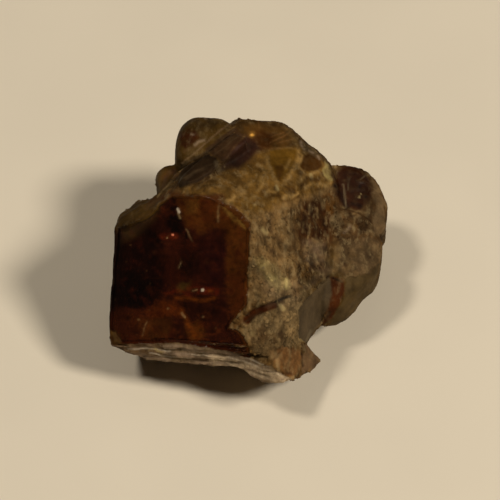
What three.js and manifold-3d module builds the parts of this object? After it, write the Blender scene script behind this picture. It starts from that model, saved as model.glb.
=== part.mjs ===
// A rough specimen of bastnasite, about 24 mm across: one stubby hexagonal crystal with smaller
// crystals grown onto it, all of one piece.
//
// Millimetres. The main crystal is shaped in its own upright axes: z runs up the c axis, the big
// glassy prism face looks along -y and x runs to its right. It is then laid back on its flat broken
// underside, and the smaller crystals are grown onto it as it lies, with z as the height.
import * as THREE from "three";
import { ConvexGeometry } from "three/addons/geometries/ConvexGeometry.js";
import { ImprovedNoise } from "three/addons/math/ImprovedNoise.js";
import { mergeVertices } from "three/addons/utils/BufferGeometryUtils.js";
import Module from "manifold-3d";

// ---------------------------------------------------------------- driving dimensions (mm, degrees)
const FRONT_FACE = 7.9; // from the c axis out to the glassy prism face
const LEFT_FACE = 9.8; // from the c axis out to the left prism face
const PINACOID = 11.2; // from the middle up to the small end face
const BASAL_PARTING = 10.2; // from the middle down to the layered break under the crystal
const REST_FACE = 7.0; // from the middle out to the flat break that the specimen lies on
const LAID_BACK = { bearing: -167.8, rise: -44.1 }; // where that break looks in the upright axes
const TURN = -16.36; // turn about the vertical once it lies down

const PARTING_STEP = 0.75; // how much higher the parting is left of the foot
const BREAK_TOP = -7.4; // height where the layered break under the glassy face starts
const LAYER = 0.38; // thickness of a layer in it
const LAYERS = 4; // how many layers break off deeper than the ones between them
const LAYER_SETBACK = 0.35; // how much deeper, at most

const BROAD_LUMPS = 3.1; // size of the lumps on a rough skin
const FINE_LUMPS = 1.3; // size of the smaller ones among them
const FINE_SHARE = 0.55; // height of the smaller ones against the broad ones
const FLANK = { sharpness: 40, roughness: 0.32, detail: 21 }; // rough skin of the main crystal
const ROUND = { sharpness: 6, roughness: 0.12, detail: 6 }; // rounded, weathered crystal
const KNOB = { sharpness: 4, roughness: 0.08, detail: 6 };
const BLADE = { sharpness: 12, roughness: 0.03, detail: 6 };

const OVERSIZE = 1.6; // how far the rough skin stands proud of the faces that are cut later
const BLOCK = 60; // side of the raw block that the cuts are taken from
const SHORTEST_EDGE = 0.06;

const noise = new ImprovedNoise();
const wasm = await Module();
wasm.setup();

// ---------------------------------------------------------------- faces
// A face looks towards a bearing, 0 at the front (-y), 90 on the right (+x) and 180 at the back,
// and rises from the horizontal towards +z. Its distance is from the middle.
function face(bearing, rise, distance) {
  const b = THREE.MathUtils.degToRad(bearing);
  const r = THREE.MathUtils.degToRad(rise);
  const normal = new THREE.Vector3(
    Math.sin(b) * Math.cos(r),
    -Math.cos(b) * Math.cos(r),
    Math.sin(r),
  );
  return { normal, distance };
}

const moved = (faces, outwards) =>
  faces.map(({ normal, distance }) => ({ normal, distance: distance + outwards }));

// ---------------------------------------------------------------- solids
function solidOf(geometry) {
  const bare = geometry.index ? geometry.toNonIndexed() : geometry.clone();
  bare.deleteAttribute("normal");
  bare.deleteAttribute("uv");
  const merged = mergeVertices(bare, 1e-5);
  return new wasm.Manifold(
    new wasm.Mesh({
      numProp: 3,
      vertProperties: merged.attributes.position.array,
      triVerts: new Uint32Array(merged.index.array),
    }),
  );
}

function geometryOf(solid) {
  const mesh = solid.getMesh();
  return new THREE.BufferGeometry()
    .setAttribute("position", new THREE.BufferAttribute(mesh.vertProperties, 3))
    .setIndex(new THREE.BufferAttribute(mesh.triVerts, 1));
}

const rawBlock = () => solidOf(new THREE.BoxGeometry(BLOCK, BLOCK, BLOCK));

const hull = (corners) => solidOf(new ConvexGeometry(corners.map((c) => new THREE.Vector3(...c))));

// Cuts the solid back to the inner side of every face.
function cleave(solid, faces) {
  for (const { normal, distance } of faces) {
    solid = solid.trimByPlane(normal.clone().negate().toArray(), -distance);
  }
  return solid;
}

// Takes away what lies outside all of the faces at once, which leaves a step.
function step(solid, faces) {
  let corner = rawBlock();
  for (const { normal, distance } of faces) {
    corner = corner.trimByPlane(normal.toArray(), distance);
  }
  return solid.subtract(corner);
}

// Uneven height of a broken or weathered skin at a point, about -1 to 1.
function unevenness({ x, y, z }) {
  const broad = noise.noise(x / BROAD_LUMPS + 7, y / BROAD_LUMPS, z / BROAD_LUMPS);
  const fine = noise.noise(x / FINE_LUMPS, y / FINE_LUMPS + 5, z / FINE_LUMPS);
  return broad + FINE_SHARE * fine;
}

// A lump is a solid grown around its middle and held in by its faces, which meet in soft edges:
// a sharpness of 2 would be an ellipsoid. Its skin is uneven by its roughness, in mm.
function lump(middle, { sharpness, roughness, detail }, faces) {
  const geometry = new THREE.IcosahedronGeometry(1, detail);
  const points = geometry.attributes.position;
  const point = new THREE.Vector3();
  for (let i = 0; i < points.count; i++) {
    const way = new THREE.Vector3().fromBufferAttribute(points, i).normalize();
    let sum = 0;
    for (const { normal, distance } of faces) {
      sum += Math.pow(Math.max(0, normal.dot(way)) / distance, sharpness);
    }
    const reach = Math.pow(sum, -1 / sharpness);
    point.set(...middle).addScaledVector(way, reach);
    point.addScaledVector(way, roughness * unevenness(point));
    points.setXYZ(i, point.x, point.y, point.z);
  }
  return solidOf(geometry);
}

// ---------------------------------------------------------------- the main crystal, upright
const restFace = face(LAID_BACK.bearing, LAID_BACK.rise, REST_FACE);

// Flat faces, cut clean through the skin.
const flatFaces = [
  face(0, 0, FRONT_FACE), // glassy prism face
  face(-90, 0, LEFT_FACE), // left prism face
  face(-45, 0, 11.95), // narrow bevel between them
  face(-43, 44, 9.73), // olive bevel at their upper end
  face(80, -10, 7.47), // grey facet low on the right
  face(0, 90, PINACOID),
  face(-90, -86, BASAL_PARTING),
  face(-90, -70, 11.16), // the parting, rising to the left
  face(122, -44, 8.09), // underside on the right
  restFace,
];

// Flanks without a crystal face, which are rough and rounded where they meet.
const roughFlanks = [
  face(14, 0, 8.25), // right of the glassy face, lower part
  face(65, 17, 5.92), // right of the glassy face, upper part
  face(68, -15, 8.4), // from there down to the grey facet
  face(-68, 48, 9.19), // top left
  face(0, 53, 8.52), // top, above the glassy face
  face(39.5, 48, 7.1), // top, sloping down to the right
  face(113, 51, 10.6), // shoulder
  face(111, 15, 8.9), // right side, behind the grown-on crystals
  face(180, 45, 10.8), // back of the top
  face(180, 0, 8.4), // back
  face(-135, 6, 10.6), // back left
];

const brokenFoot = [face(2, -25.5, 10.32), face(12, -30, 11.2)]; // under the glassy face
const leftStep = [face(-83, 63, 7.39), face(-90, 12, 6.9)]; // above the left prism face
const partingStep = [face(0, -90, BASAL_PARTING - PARTING_STEP), face(-72, -15, 1.2)];

// Breaks off the foot of the crystal, with every other thin layer broken a little deeper.
function breakFoot(solid) {
  let broken = cleave(solid, brokenFoot);
  for (let i = 0; i < LAYERS; i++) {
    const high = BREAK_TOP - 2 * i * LAYER;
    const layer = rawBlock().trimByPlane([0, 0, -1], -high).trimByPlane([0, 0, 1], high - LAYER);
    const setback = (LAYER_SETBACK * (1 + Math.abs(Math.sin(2.4 * i)))) / 2;
    const bite = layer.subtract(cleave(layer, moved(brokenFoot, -setback)));
    broken = broken.subtract(bite);
  }
  return broken;
}

function mainCrystal() {
  const skin = lump([0, 0, 0], FLANK, [...roughFlanks, ...moved(flatFaces, OVERSIZE)]);
  const faced = cleave(skin, flatFaces);
  const stepped = step(step(faced, leftStep), partingStep);
  return breakFoot(stepped);
}

// ---------------------------------------------------------------- laid on its underside
const laidDown = new THREE.Matrix4()
  .makeTranslation(0, 0, REST_FACE)
  .multiply(new THREE.Matrix4().makeRotationZ(THREE.MathUtils.degToRad(TURN)))
  .multiply(
    new THREE.Matrix4().makeRotationFromQuaternion(
      new THREE.Quaternion().setFromUnitVectors(restFace.normal, new THREE.Vector3(0, 0, -1)),
    ),
  );

// ---------------------------------------------------------------- crystals grown onto it
// Rounded crystal behind the top left.
const shoulderCrystal = lump([-4.0, 7.3, 11.5], ROUND, [
  face(0, 90, 2.9),
  face(-90, 0, 2.5),
  face(-120, 30, 2.6),
  face(-110, -40, 5.0),
  face(180, 20, 3.3),
  face(150, 40, 3.1),
  face(180, -40, 4.6),
  face(90, 0, 4.5),
  face(0, 0, 3.0),
  face(0, -90, 8.0),
]);

// Small knob under it.
const knob = lump([-6.3, 3.9, 10.4], KNOB, [
  face(0, 90, 1.4),
  face(-90, 10, 1.5),
  face(180, 0, 2.2),
  face(0, 0, 2.2),
  face(90, 0, 2.5),
  face(0, -90, 4.0),
]);

// Smooth dark blade that lies across the top.
const blade = lump([-3.25, 2.94, 14.35], BLADE, [
  face(-147, 78, 1.1),
  face(142, -4, 4.1),
  face(-38, 4, 4.1),
  face(52, 0, 1.0),
  face(-128, 10, 1.0),
  face(0, -90, 3.0),
]);

// The two rounded tablets side by side on the right.
const upperTablet = lump([9.2, 4.7, 5.9], ROUND, [
  face(20, 75, 2.6),
  face(0, -90, 2.8),
  face(90, 0, 2.9),
  face(30, 0, 3.4),
  face(140, 0, 3.6),
  face(180, 0, 3.7),
  face(-90, 0, 3.5),
  face(-30, 0, 3.8),
]);

const lowerTablet = lump([8.3, -1.0, 5.0], ROUND, [
  face(20, 70, 2.6),
  face(0, -90, 2.4),
  face(80, 0, 3.2),
  face(50, 0, 2.7),
  face(0, 0, 4.7),
  face(120, 0, 4.0),
  face(180, 0, 4.6),
  face(-90, 0, 3.2),
]);

// Pointed flake at the lower right, with the foot that it grows from.
const flake = hull([
  [4.1, -8.9, 5.9],
  [4.8, -7.7, 3.9],
  [6.0, -8.6, 2.6],
  [5.6, -9.3, 2.4],
  [4.6, -10.5, 3.0],
  [2.9, -13.2, 5.5],
  [1.0, -12.7, 4.8],
  [-1.1, -11.4, 5.5],
  [1.8, -12.4, 7.0],
  [3.1, -10.4, 7.0],
  [2.0, -9.0, 5.0],
  [2.8, -8.0, 3.0],
  [2.2, -11.0, 3.6],
]);

// ---------------------------------------------------------------- the specimen
// Closes up edges too short to keep, which joins leave where skins cross. An edge goes only where
// its two ends share just the two triangles beside it.
function closeShortEdges(geometry) {
  const points = geometry.attributes.position;
  const at = (v) => new THREE.Vector3().fromBufferAttribute(points, v);
  const corners = [...geometry.index.array];
  let triangles = [];
  for (let i = 0; i < corners.length; i += 3) triangles.push(corners.slice(i, i + 3));
  for (let closed = 1; closed > 0; ) {
    const around = new Map(corners.map((v) => [v, new Set()]));
    for (const triangle of triangles) {
      for (const v of triangle) triangle.forEach((other) => other !== v && around.get(v).add(other));
    }
    const movesTo = new Map();
    const busy = new Set();
    for (const [kept, near] of around) {
      for (const gone of near) {
        if (busy.has(kept) || busy.has(gone)) continue;
        if (at(kept).distanceTo(at(gone)) > SHORTEST_EDGE) continue;
        const shared = [...near].filter((v) => around.get(gone).has(v));
        if (shared.length !== 2) continue;
        movesTo.set(gone, kept);
        for (const v of [kept, gone, ...near, ...around.get(gone)]) busy.add(v);
      }
    }
    closed = movesTo.size;
    triangles = triangles
      .map((triangle) => triangle.map((v) => movesTo.get(v) ?? v))
      .filter(([a, b, c]) => a !== b && b !== c && c !== a);
  }
  return geometry.clone().setIndex(triangles.flat()).toNonIndexed();
}

const grownOn = [shoulderCrystal, knob, blade, upperTablet, lowerTablet, flake];
let specimen = solidOf(geometryOf(mainCrystal()).applyMatrix4(laidDown));
for (const crystal of grownOn) specimen = specimen.add(crystal);

const stone = new THREE.MeshStandardMaterial({ color: 0x5a3018, roughness: 0.45, metalness: 0 });
const crystal = new THREE.Mesh(closeShortEdges(geometryOf(specimen)), stone);
crystal.name = "bastnasite_crystal";

// The origin is under the middle of its box, on the surface it lies on.
const box = new THREE.Box3().setFromObject(crystal);
const middle = box.getCenter(new THREE.Vector3());
crystal.position.set(-middle.x, -middle.y, -box.min.z);

const group = new THREE.Group();
group.add(crystal);
export default group;
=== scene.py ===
"""Looks of a rough bastnasite crystal: a stubby prism with a glassy dark face and a grainy crust.

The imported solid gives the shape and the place. A fine copy of it gets the small relief, the colours
and the see-through parts of each kind of surface, and coarse grains stand out of the crust.
"""

import logging
import math
from dataclasses import dataclass, field
from enum import Enum

import bpy
import numpy as np
from mathutils import Matrix, Vector, noise


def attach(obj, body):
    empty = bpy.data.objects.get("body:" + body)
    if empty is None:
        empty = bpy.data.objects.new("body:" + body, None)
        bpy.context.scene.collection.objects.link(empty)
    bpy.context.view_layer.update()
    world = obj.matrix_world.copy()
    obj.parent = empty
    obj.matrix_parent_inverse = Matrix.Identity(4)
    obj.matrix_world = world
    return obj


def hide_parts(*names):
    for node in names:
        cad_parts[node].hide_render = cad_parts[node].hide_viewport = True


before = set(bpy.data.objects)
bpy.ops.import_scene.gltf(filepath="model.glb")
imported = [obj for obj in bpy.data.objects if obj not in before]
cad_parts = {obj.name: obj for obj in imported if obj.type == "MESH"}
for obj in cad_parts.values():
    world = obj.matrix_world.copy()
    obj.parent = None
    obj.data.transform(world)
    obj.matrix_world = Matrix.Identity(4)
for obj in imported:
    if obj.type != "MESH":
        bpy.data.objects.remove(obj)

MM = 0.001
NODE = "bastnasite_crystal"
MIDDLE = (-0.168, 0.727, 7.0)
TINY = 1e-9

# The frame is a square of pixels. Marks are placed by pixel and turned to mm on the sheet, where the
# lines thinner than FINE_WIDTH pixels are placed more finely than the rest.
HALF_FRAME = 250
HALF_VIEW = 21.65
PIXEL = HALF_VIEW / HALF_FRAME
BROAD_DIGITS = 1
FINE_DIGITS = 2
FINE_WIDTH = 3

# The curve between screen colours and linear light.
FULL_BYTE = 255
TOE_END = 0.04045
TOE_SLOPE = 12.92
CURVE_SHIFT = 0.055
CURVE_POWER = 2.4

# How far noise moves from one seed to the next.
NOISE_STEP = (17.3, -9.1, 5.7)
CELL_STEP = (-3.7, 11.9, 23.1)

log = logging.getLogger("bastnasite")

Colour = tuple[float, float, float]
Spot = tuple[float, float]
Socket = bpy.types.NodeSocket


class Tone(Enum):
    """Colours of the stone, and of the glints painted on it, as 8-bit screen colours."""

    INK = (9, 3, 2)
    SMOKE = (17, 4, 2)
    PLUM = (30, 7, 6)
    MAROON = (36, 12, 5)
    GARNET = (46, 15, 6)
    RUSSET = (50, 19, 6)
    EMBER = (96, 30, 10)
    # The next two are painted glints, specks of light, not colours of the stone.
    GLINT_ORANGE = (250, 150, 110)
    GLOW = (230, 170, 80)
    AMBER_DARK = (70, 30, 8)
    AMBER = (98, 48, 12)
    HONEY_DARK = (68, 35, 10)
    HONEY = (88, 56, 20)
    MAROON_BROWN = (44, 20, 6)
    PLUM_BROWN = (43, 20, 9)
    RUST = (56, 24, 5)
    RUST_RED = (66, 32, 10)
    UMBER_DARK = (34, 22, 12)
    UMBER = (54, 36, 20)
    BROWN = (76, 54, 30)
    BROWN_GREY = (98, 74, 50)
    SAND = (96, 70, 37)
    TAN = (92, 64, 34)
    TAN_GOLD = (106, 77, 33)
    ORANGE_TAN = (110, 76, 42)
    ROSE_TAN = (118, 92, 57)
    BUFF = (132, 108, 72)
    CREAM = (164, 144, 98)
    STRAW = (186, 168, 108)
    FLECK = (134, 114, 80)
    CHALK = (205, 192, 170)
    CHALK_BROWN = (128, 108, 88)
    OLIVE_DARK = (54, 36, 12)
    OLIVE = (70, 50, 18)
    ROSE = (104, 82, 58)
    ASH = (104, 90, 68)
    LEDGE_GREY = (106, 88, 68)
    LEDGE_PALE = (182, 160, 130)
    PEWTER = (38, 26, 14)
    SLATE_DARK = (31, 20, 10)
    SLATE = (72, 59, 41)
    GREY_BROWN = (78, 62, 44)
    GREY_TAN = (72, 57, 33)
    WARM_GREY = (132, 109, 74)
    RIM_GREY = (98, 78, 53)
    OCHRE = (94, 66, 19)
    OCHRE_DARK = (60, 36, 9)
    CREST = (148, 117, 68)
    OLIVE_AMBER = (72, 48, 18)
    WARM_DARK = (56, 30, 9)
    GREY_PIT = (62, 46, 32)
    PAPER = (226, 218, 203)

    @property
    def linear(self) -> Colour:
        """Turns the screen colour into linear light.

        Returns:
            The red, green and blue parts, 0 to 1.
        """
        parts = [c / FULL_BYTE for c in self.value]
        return tuple(
            c / TOE_SLOPE if c <= TOE_END else ((c + CURVE_SHIFT) / (1 + CURVE_SHIFT)) ** CURVE_POWER
            for c in parts
        )


def ramp(value: np.ndarray, low: float, high: float) -> np.ndarray:
    """Smooth step of a field from 0 at low to 1 at high.

    Args:
        value: The field.
        low: Where the step starts.
        high: Where it ends; below low, the step runs the other way.

    Returns:
        The field of steps, 0 to 1.
    """
    t = np.clip((value - low) / (high - low), 0.0, 1.0)
    return t * t * (3.0 - 2.0 * t)


def soft_noise(points: np.ndarray, size: float, seed: int, octaves: int = 1) -> np.ndarray:
    """Smooth noise at each point, about -1 to 1.

    Args:
        points: The points, in mm.
        size: Size of the broadest lumps, in mm.
        seed: Moves the pattern.
        octaves: How many sizes of lumps, each half as big and as strong as the one before.

    Returns:
        One value for each point.
    """
    total = np.zeros(len(points))
    for octave in range(octaves):
        shift = np.array(NOISE_STEP) * (seed + octave + 1)
        places = points / (size / 2**octave) + shift
        total += np.fromiter((noise.noise(p) for p in places), float, len(points)) / 2**octave
    return total


def cell_noise(points: np.ndarray, size: float, seed: int) -> tuple[np.ndarray, np.ndarray]:
    """Distances to the nearest of the scattered cell middles, and from there to the next nearest.

    Args:
        points: The points, in mm.
        size: Size of the cells, in mm.
        seed: Moves the pattern.

    Returns:
        The nearest distance, and how much further the next is, in cells.
    """
    shift = np.array(CELL_STEP) * (seed + 1)
    near = np.array([noise.voronoi(p)[0][:2] for p in points / size + shift])
    return near[:, 0], near[:, 1] - near[:, 0]


@dataclass(frozen=True)
class Step:
    """A smooth step of a field, from 0 at low to its strength at high."""

    low: float
    high: float
    strength: float = 1.0

    def of(self, value: np.ndarray) -> np.ndarray:
        """The step at each value of the field."""
        return ramp(value, self.low, self.high) * self.strength


@dataclass(frozen=True)
class Grit:
    """Noise, by the size of its broadest lumps in mm, its seed, its octaves and how they are squeezed."""

    size: float
    seed: int
    octaves: int = 1
    squeeze: tuple[float, float, float] = (1.0, 1.0, 1.0)

    def at(self, points: np.ndarray) -> np.ndarray:
        """The noise at each point, about -1 to 1."""
        return soft_noise(points * np.array(self.squeeze), self.size, self.seed, self.octaves)


@dataclass(frozen=True)
class Face:
    """A crystal face in the crystal's own upright axes, in degrees and mm."""

    bearing: float
    rise: float
    distance: float

    def normal(self) -> np.ndarray:
        """Direction that the face looks in."""
        b, r = math.radians(self.bearing), math.radians(self.rise)
        return np.array((math.sin(b) * math.cos(r), -math.cos(b) * math.cos(r), math.sin(r)))


PRISM = Face(0, 0, 7.9)
LEFT_PRISM = Face(-90, 0, 9.8)
GREY_FACET = Face(80, -10, 7.47)
REST_FACE = Face(-167.8, -44.1, 7.0)
LAID_TURN = -16.36


@dataclass(frozen=True)
class CrystalAxes:
    """The main crystal's upright axes, as they lie in the frame."""

    middle: tuple[float, float, float] = MIDDLE

    def rotation(self) -> np.ndarray:
        """Matrix that turns the upright axes into the frame's."""
        down = Vector(REST_FACE.normal()).rotation_difference(Vector((0, 0, -1)))
        return np.array(Matrix.Rotation(math.radians(LAID_TURN), 3, "Z") @ down.to_matrix())

    def points(self, row: np.ndarray) -> np.ndarray:
        """Points of the frame, in metres, as mm in the upright axes."""
        return (row / MM - np.array(self.middle)) @ self.rotation()

    def ways(self, directions: np.ndarray) -> np.ndarray:
        """Directions of the frame in the upright axes."""
        return directions @ self.rotation()


@dataclass(frozen=True)
class Sheet:
    """A flat sheet in front of the stone, square to a sloping line of sight, that marks are drawn on."""

    rise: float = 50.0
    eye: float = 170.0
    middle: tuple[float, float, float] = MIDDLE

    def toward_eye(self) -> np.ndarray:
        """Direction from the stone to the eye."""
        e = math.radians(self.rise)
        return np.array((0.0, -math.cos(e), math.sin(e)))

    def places(self, row: np.ndarray) -> np.ndarray:
        """Where each point falls on the sheet.

        Args:
            row: Points of the frame, in metres.

        Returns:
            Distances to the right and up from the sheet's middle, in mm.
        """
        e = math.radians(self.rise)
        offset = row / MM - np.array(self.middle)
        nearness = 1.0 - offset @ self.toward_eye() / self.eye
        up = offset @ np.array((0.0, math.sin(e), math.cos(e)))
        return np.stack((offset[:, 0], up), axis=1) / nearness[:, None]


def on_sheet(pixels: tuple[Spot, ...], digits: int = BROAD_DIGITS) -> np.ndarray:
    """Turns pixels of the frame into places on the sheet.

    Args:
        pixels: The pixels, counted from the frame's top left.
        digits: How many decimals of a mm the places keep.

    Returns:
        Distances to the right and up from the sheet's middle, in mm.
    """
    return np.array([
        (round((x - HALF_FRAME) * PIXEL, digits), round((HALF_FRAME - y) * PIXEL, digits))
        for x, y in pixels
    ])


@dataclass(frozen=True)
class Mark:
    """A patch, or a line where it has a width: points and width in pixels, soft and lift in mm."""

    tone: Tone
    points: tuple[Spot, ...]
    width: float = 0.0
    soft: float = 0.15
    strength: float = 1.0
    rough: float | None = None
    clear: float | None = None
    grain: float | None = None
    lift: float = 0.0
    solid: bool = False

    def weight(self, places: np.ndarray) -> np.ndarray:
        """How strongly the mark shows at each place.

        Args:
            places: Places on the sheet, in mm.

        Returns:
            Values from 0 to 1.
        """
        fine = 0 < self.width < FINE_WIDTH
        corners = on_sheet(self.points, FINE_DIGITS if fine else BROAD_DIGITS)
        width = round(self.width * PIXEL, FINE_DIGITS)
        margin = width / 2 + self.soft
        inside = (places > corners.min(0) - margin) & (places < corners.max(0) + margin)
        near = inside.all(axis=1)
        distance = edge_distance(places[near], corners, closed=not self.width)
        weight = np.zeros(len(places))
        weight[near] = ramp(distance, (width + self.soft) / 2, (width - self.soft) / 2)
        return weight * self.strength


def cloud(tone: Tone, soft: float, strength: float, *points: Spot, **feel: float) -> Mark:
    """A patch that the grain breaks up.

    Args:
        tone: Its colour.
        soft: How wide its soft edge is, in mm.
        strength: How much of its colour shows.
        points: Its corners, in pixels.
        feel: Its rough, clear, grain and lift values, where it has them.

    Returns:
        The mark.
    """
    return Mark(tone, points, 0.0, soft, strength, **feel)


def plate(tone: Tone, soft: float, strength: float, *points: Spot, **feel: float) -> Mark:
    """A patch that stays whole, with the arguments of cloud."""
    return Mark(tone, points, 0.0, soft, strength, solid=True, **feel)


def vein(tone: Tone, width: float, soft: float, strength: float, *points: Spot, **feel: float) -> Mark:
    """A line that the grain breaks up, with its width in pixels and the other arguments of cloud."""
    return Mark(tone, points, width, soft, strength, **feel)


def streak(tone: Tone, width: float, soft: float, strength: float, *points: Spot, **feel: float) -> Mark:
    """A line or a dot that stays whole, with the arguments of vein."""
    return Mark(tone, points, width, soft, strength, solid=True, **feel)


def edge_distance(places: np.ndarray, corners: np.ndarray, closed: bool) -> np.ndarray:
    """Distance from each place to a line, or to a closed outline where it is below 0 inside.

    Args:
        places: The places, in mm.
        corners: The corners of the line, in mm.
        closed: Whether the line is an outline.

    Returns:
        The distances, in mm.
    """
    nearest = np.full(len(places), np.inf)
    within = np.zeros(len(places), bool)
    ends = np.roll(corners, -1, axis=0) if closed or len(corners) == 1 else corners[1:]
    for start, end in zip(corners, ends):
        along = end - start
        length = max(float(along @ along), TINY)
        t = np.clip((places - start) @ along / length, 0.0, 1.0)
        nearest = np.minimum(nearest, np.linalg.norm(places - start - t[:, None] * along, axis=1))
        if closed:
            crosses = (start[1] > places[:, 1]) != (end[1] > places[:, 1])
            slope = along[0] / along[1] if along[1] else 0.0
            within ^= crosses & (places[:, 0] < start[0] + (places[:, 1] - start[1]) * slope)
    return np.where(within, -nearest, nearest)


GLASS_OUTLINE = (
    (111, 346), (110, 328), (113, 290), (116, 250), (118, 226), (133, 223), (147, 217), (157, 208),
    (162, 197), (168, 194), (180, 196), (200, 197), (218, 196), (234, 206), (250, 221), (249, 250),
    (248, 290), (246, 305), (240, 313), (233, 321), (228, 328), (237, 331), (244, 337), (249, 348),
    (250, 358), (225, 351), (205, 347), (180, 344), (160, 343), (140, 344), (122, 345),
)
LEDGE_OUTLINE = (
    (106, 338), (122, 346), (140, 344), (160, 343), (180, 344), (200, 346), (225, 351), (250, 357),
    (275, 370), (292, 379), (292, 390), (255, 390), (100, 372),
)

# Pale crumbs on the crust, by place and size: brown where the place across is odd, cream elsewhere.
CRUMBS = (
    (270, 277, 3), (275, 281, 2), (286, 280, 2.6), (288, 286, 2.2), (283, 289, 2), (272, 285, 2),
    (263, 268, 2.4), (268, 262, 2), (258, 271, 2), (256, 264, 2), (279, 276, 2), (292, 263, 2),
    (289, 268, 2), (262, 257, 2), (266, 235, 2),
)

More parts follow.
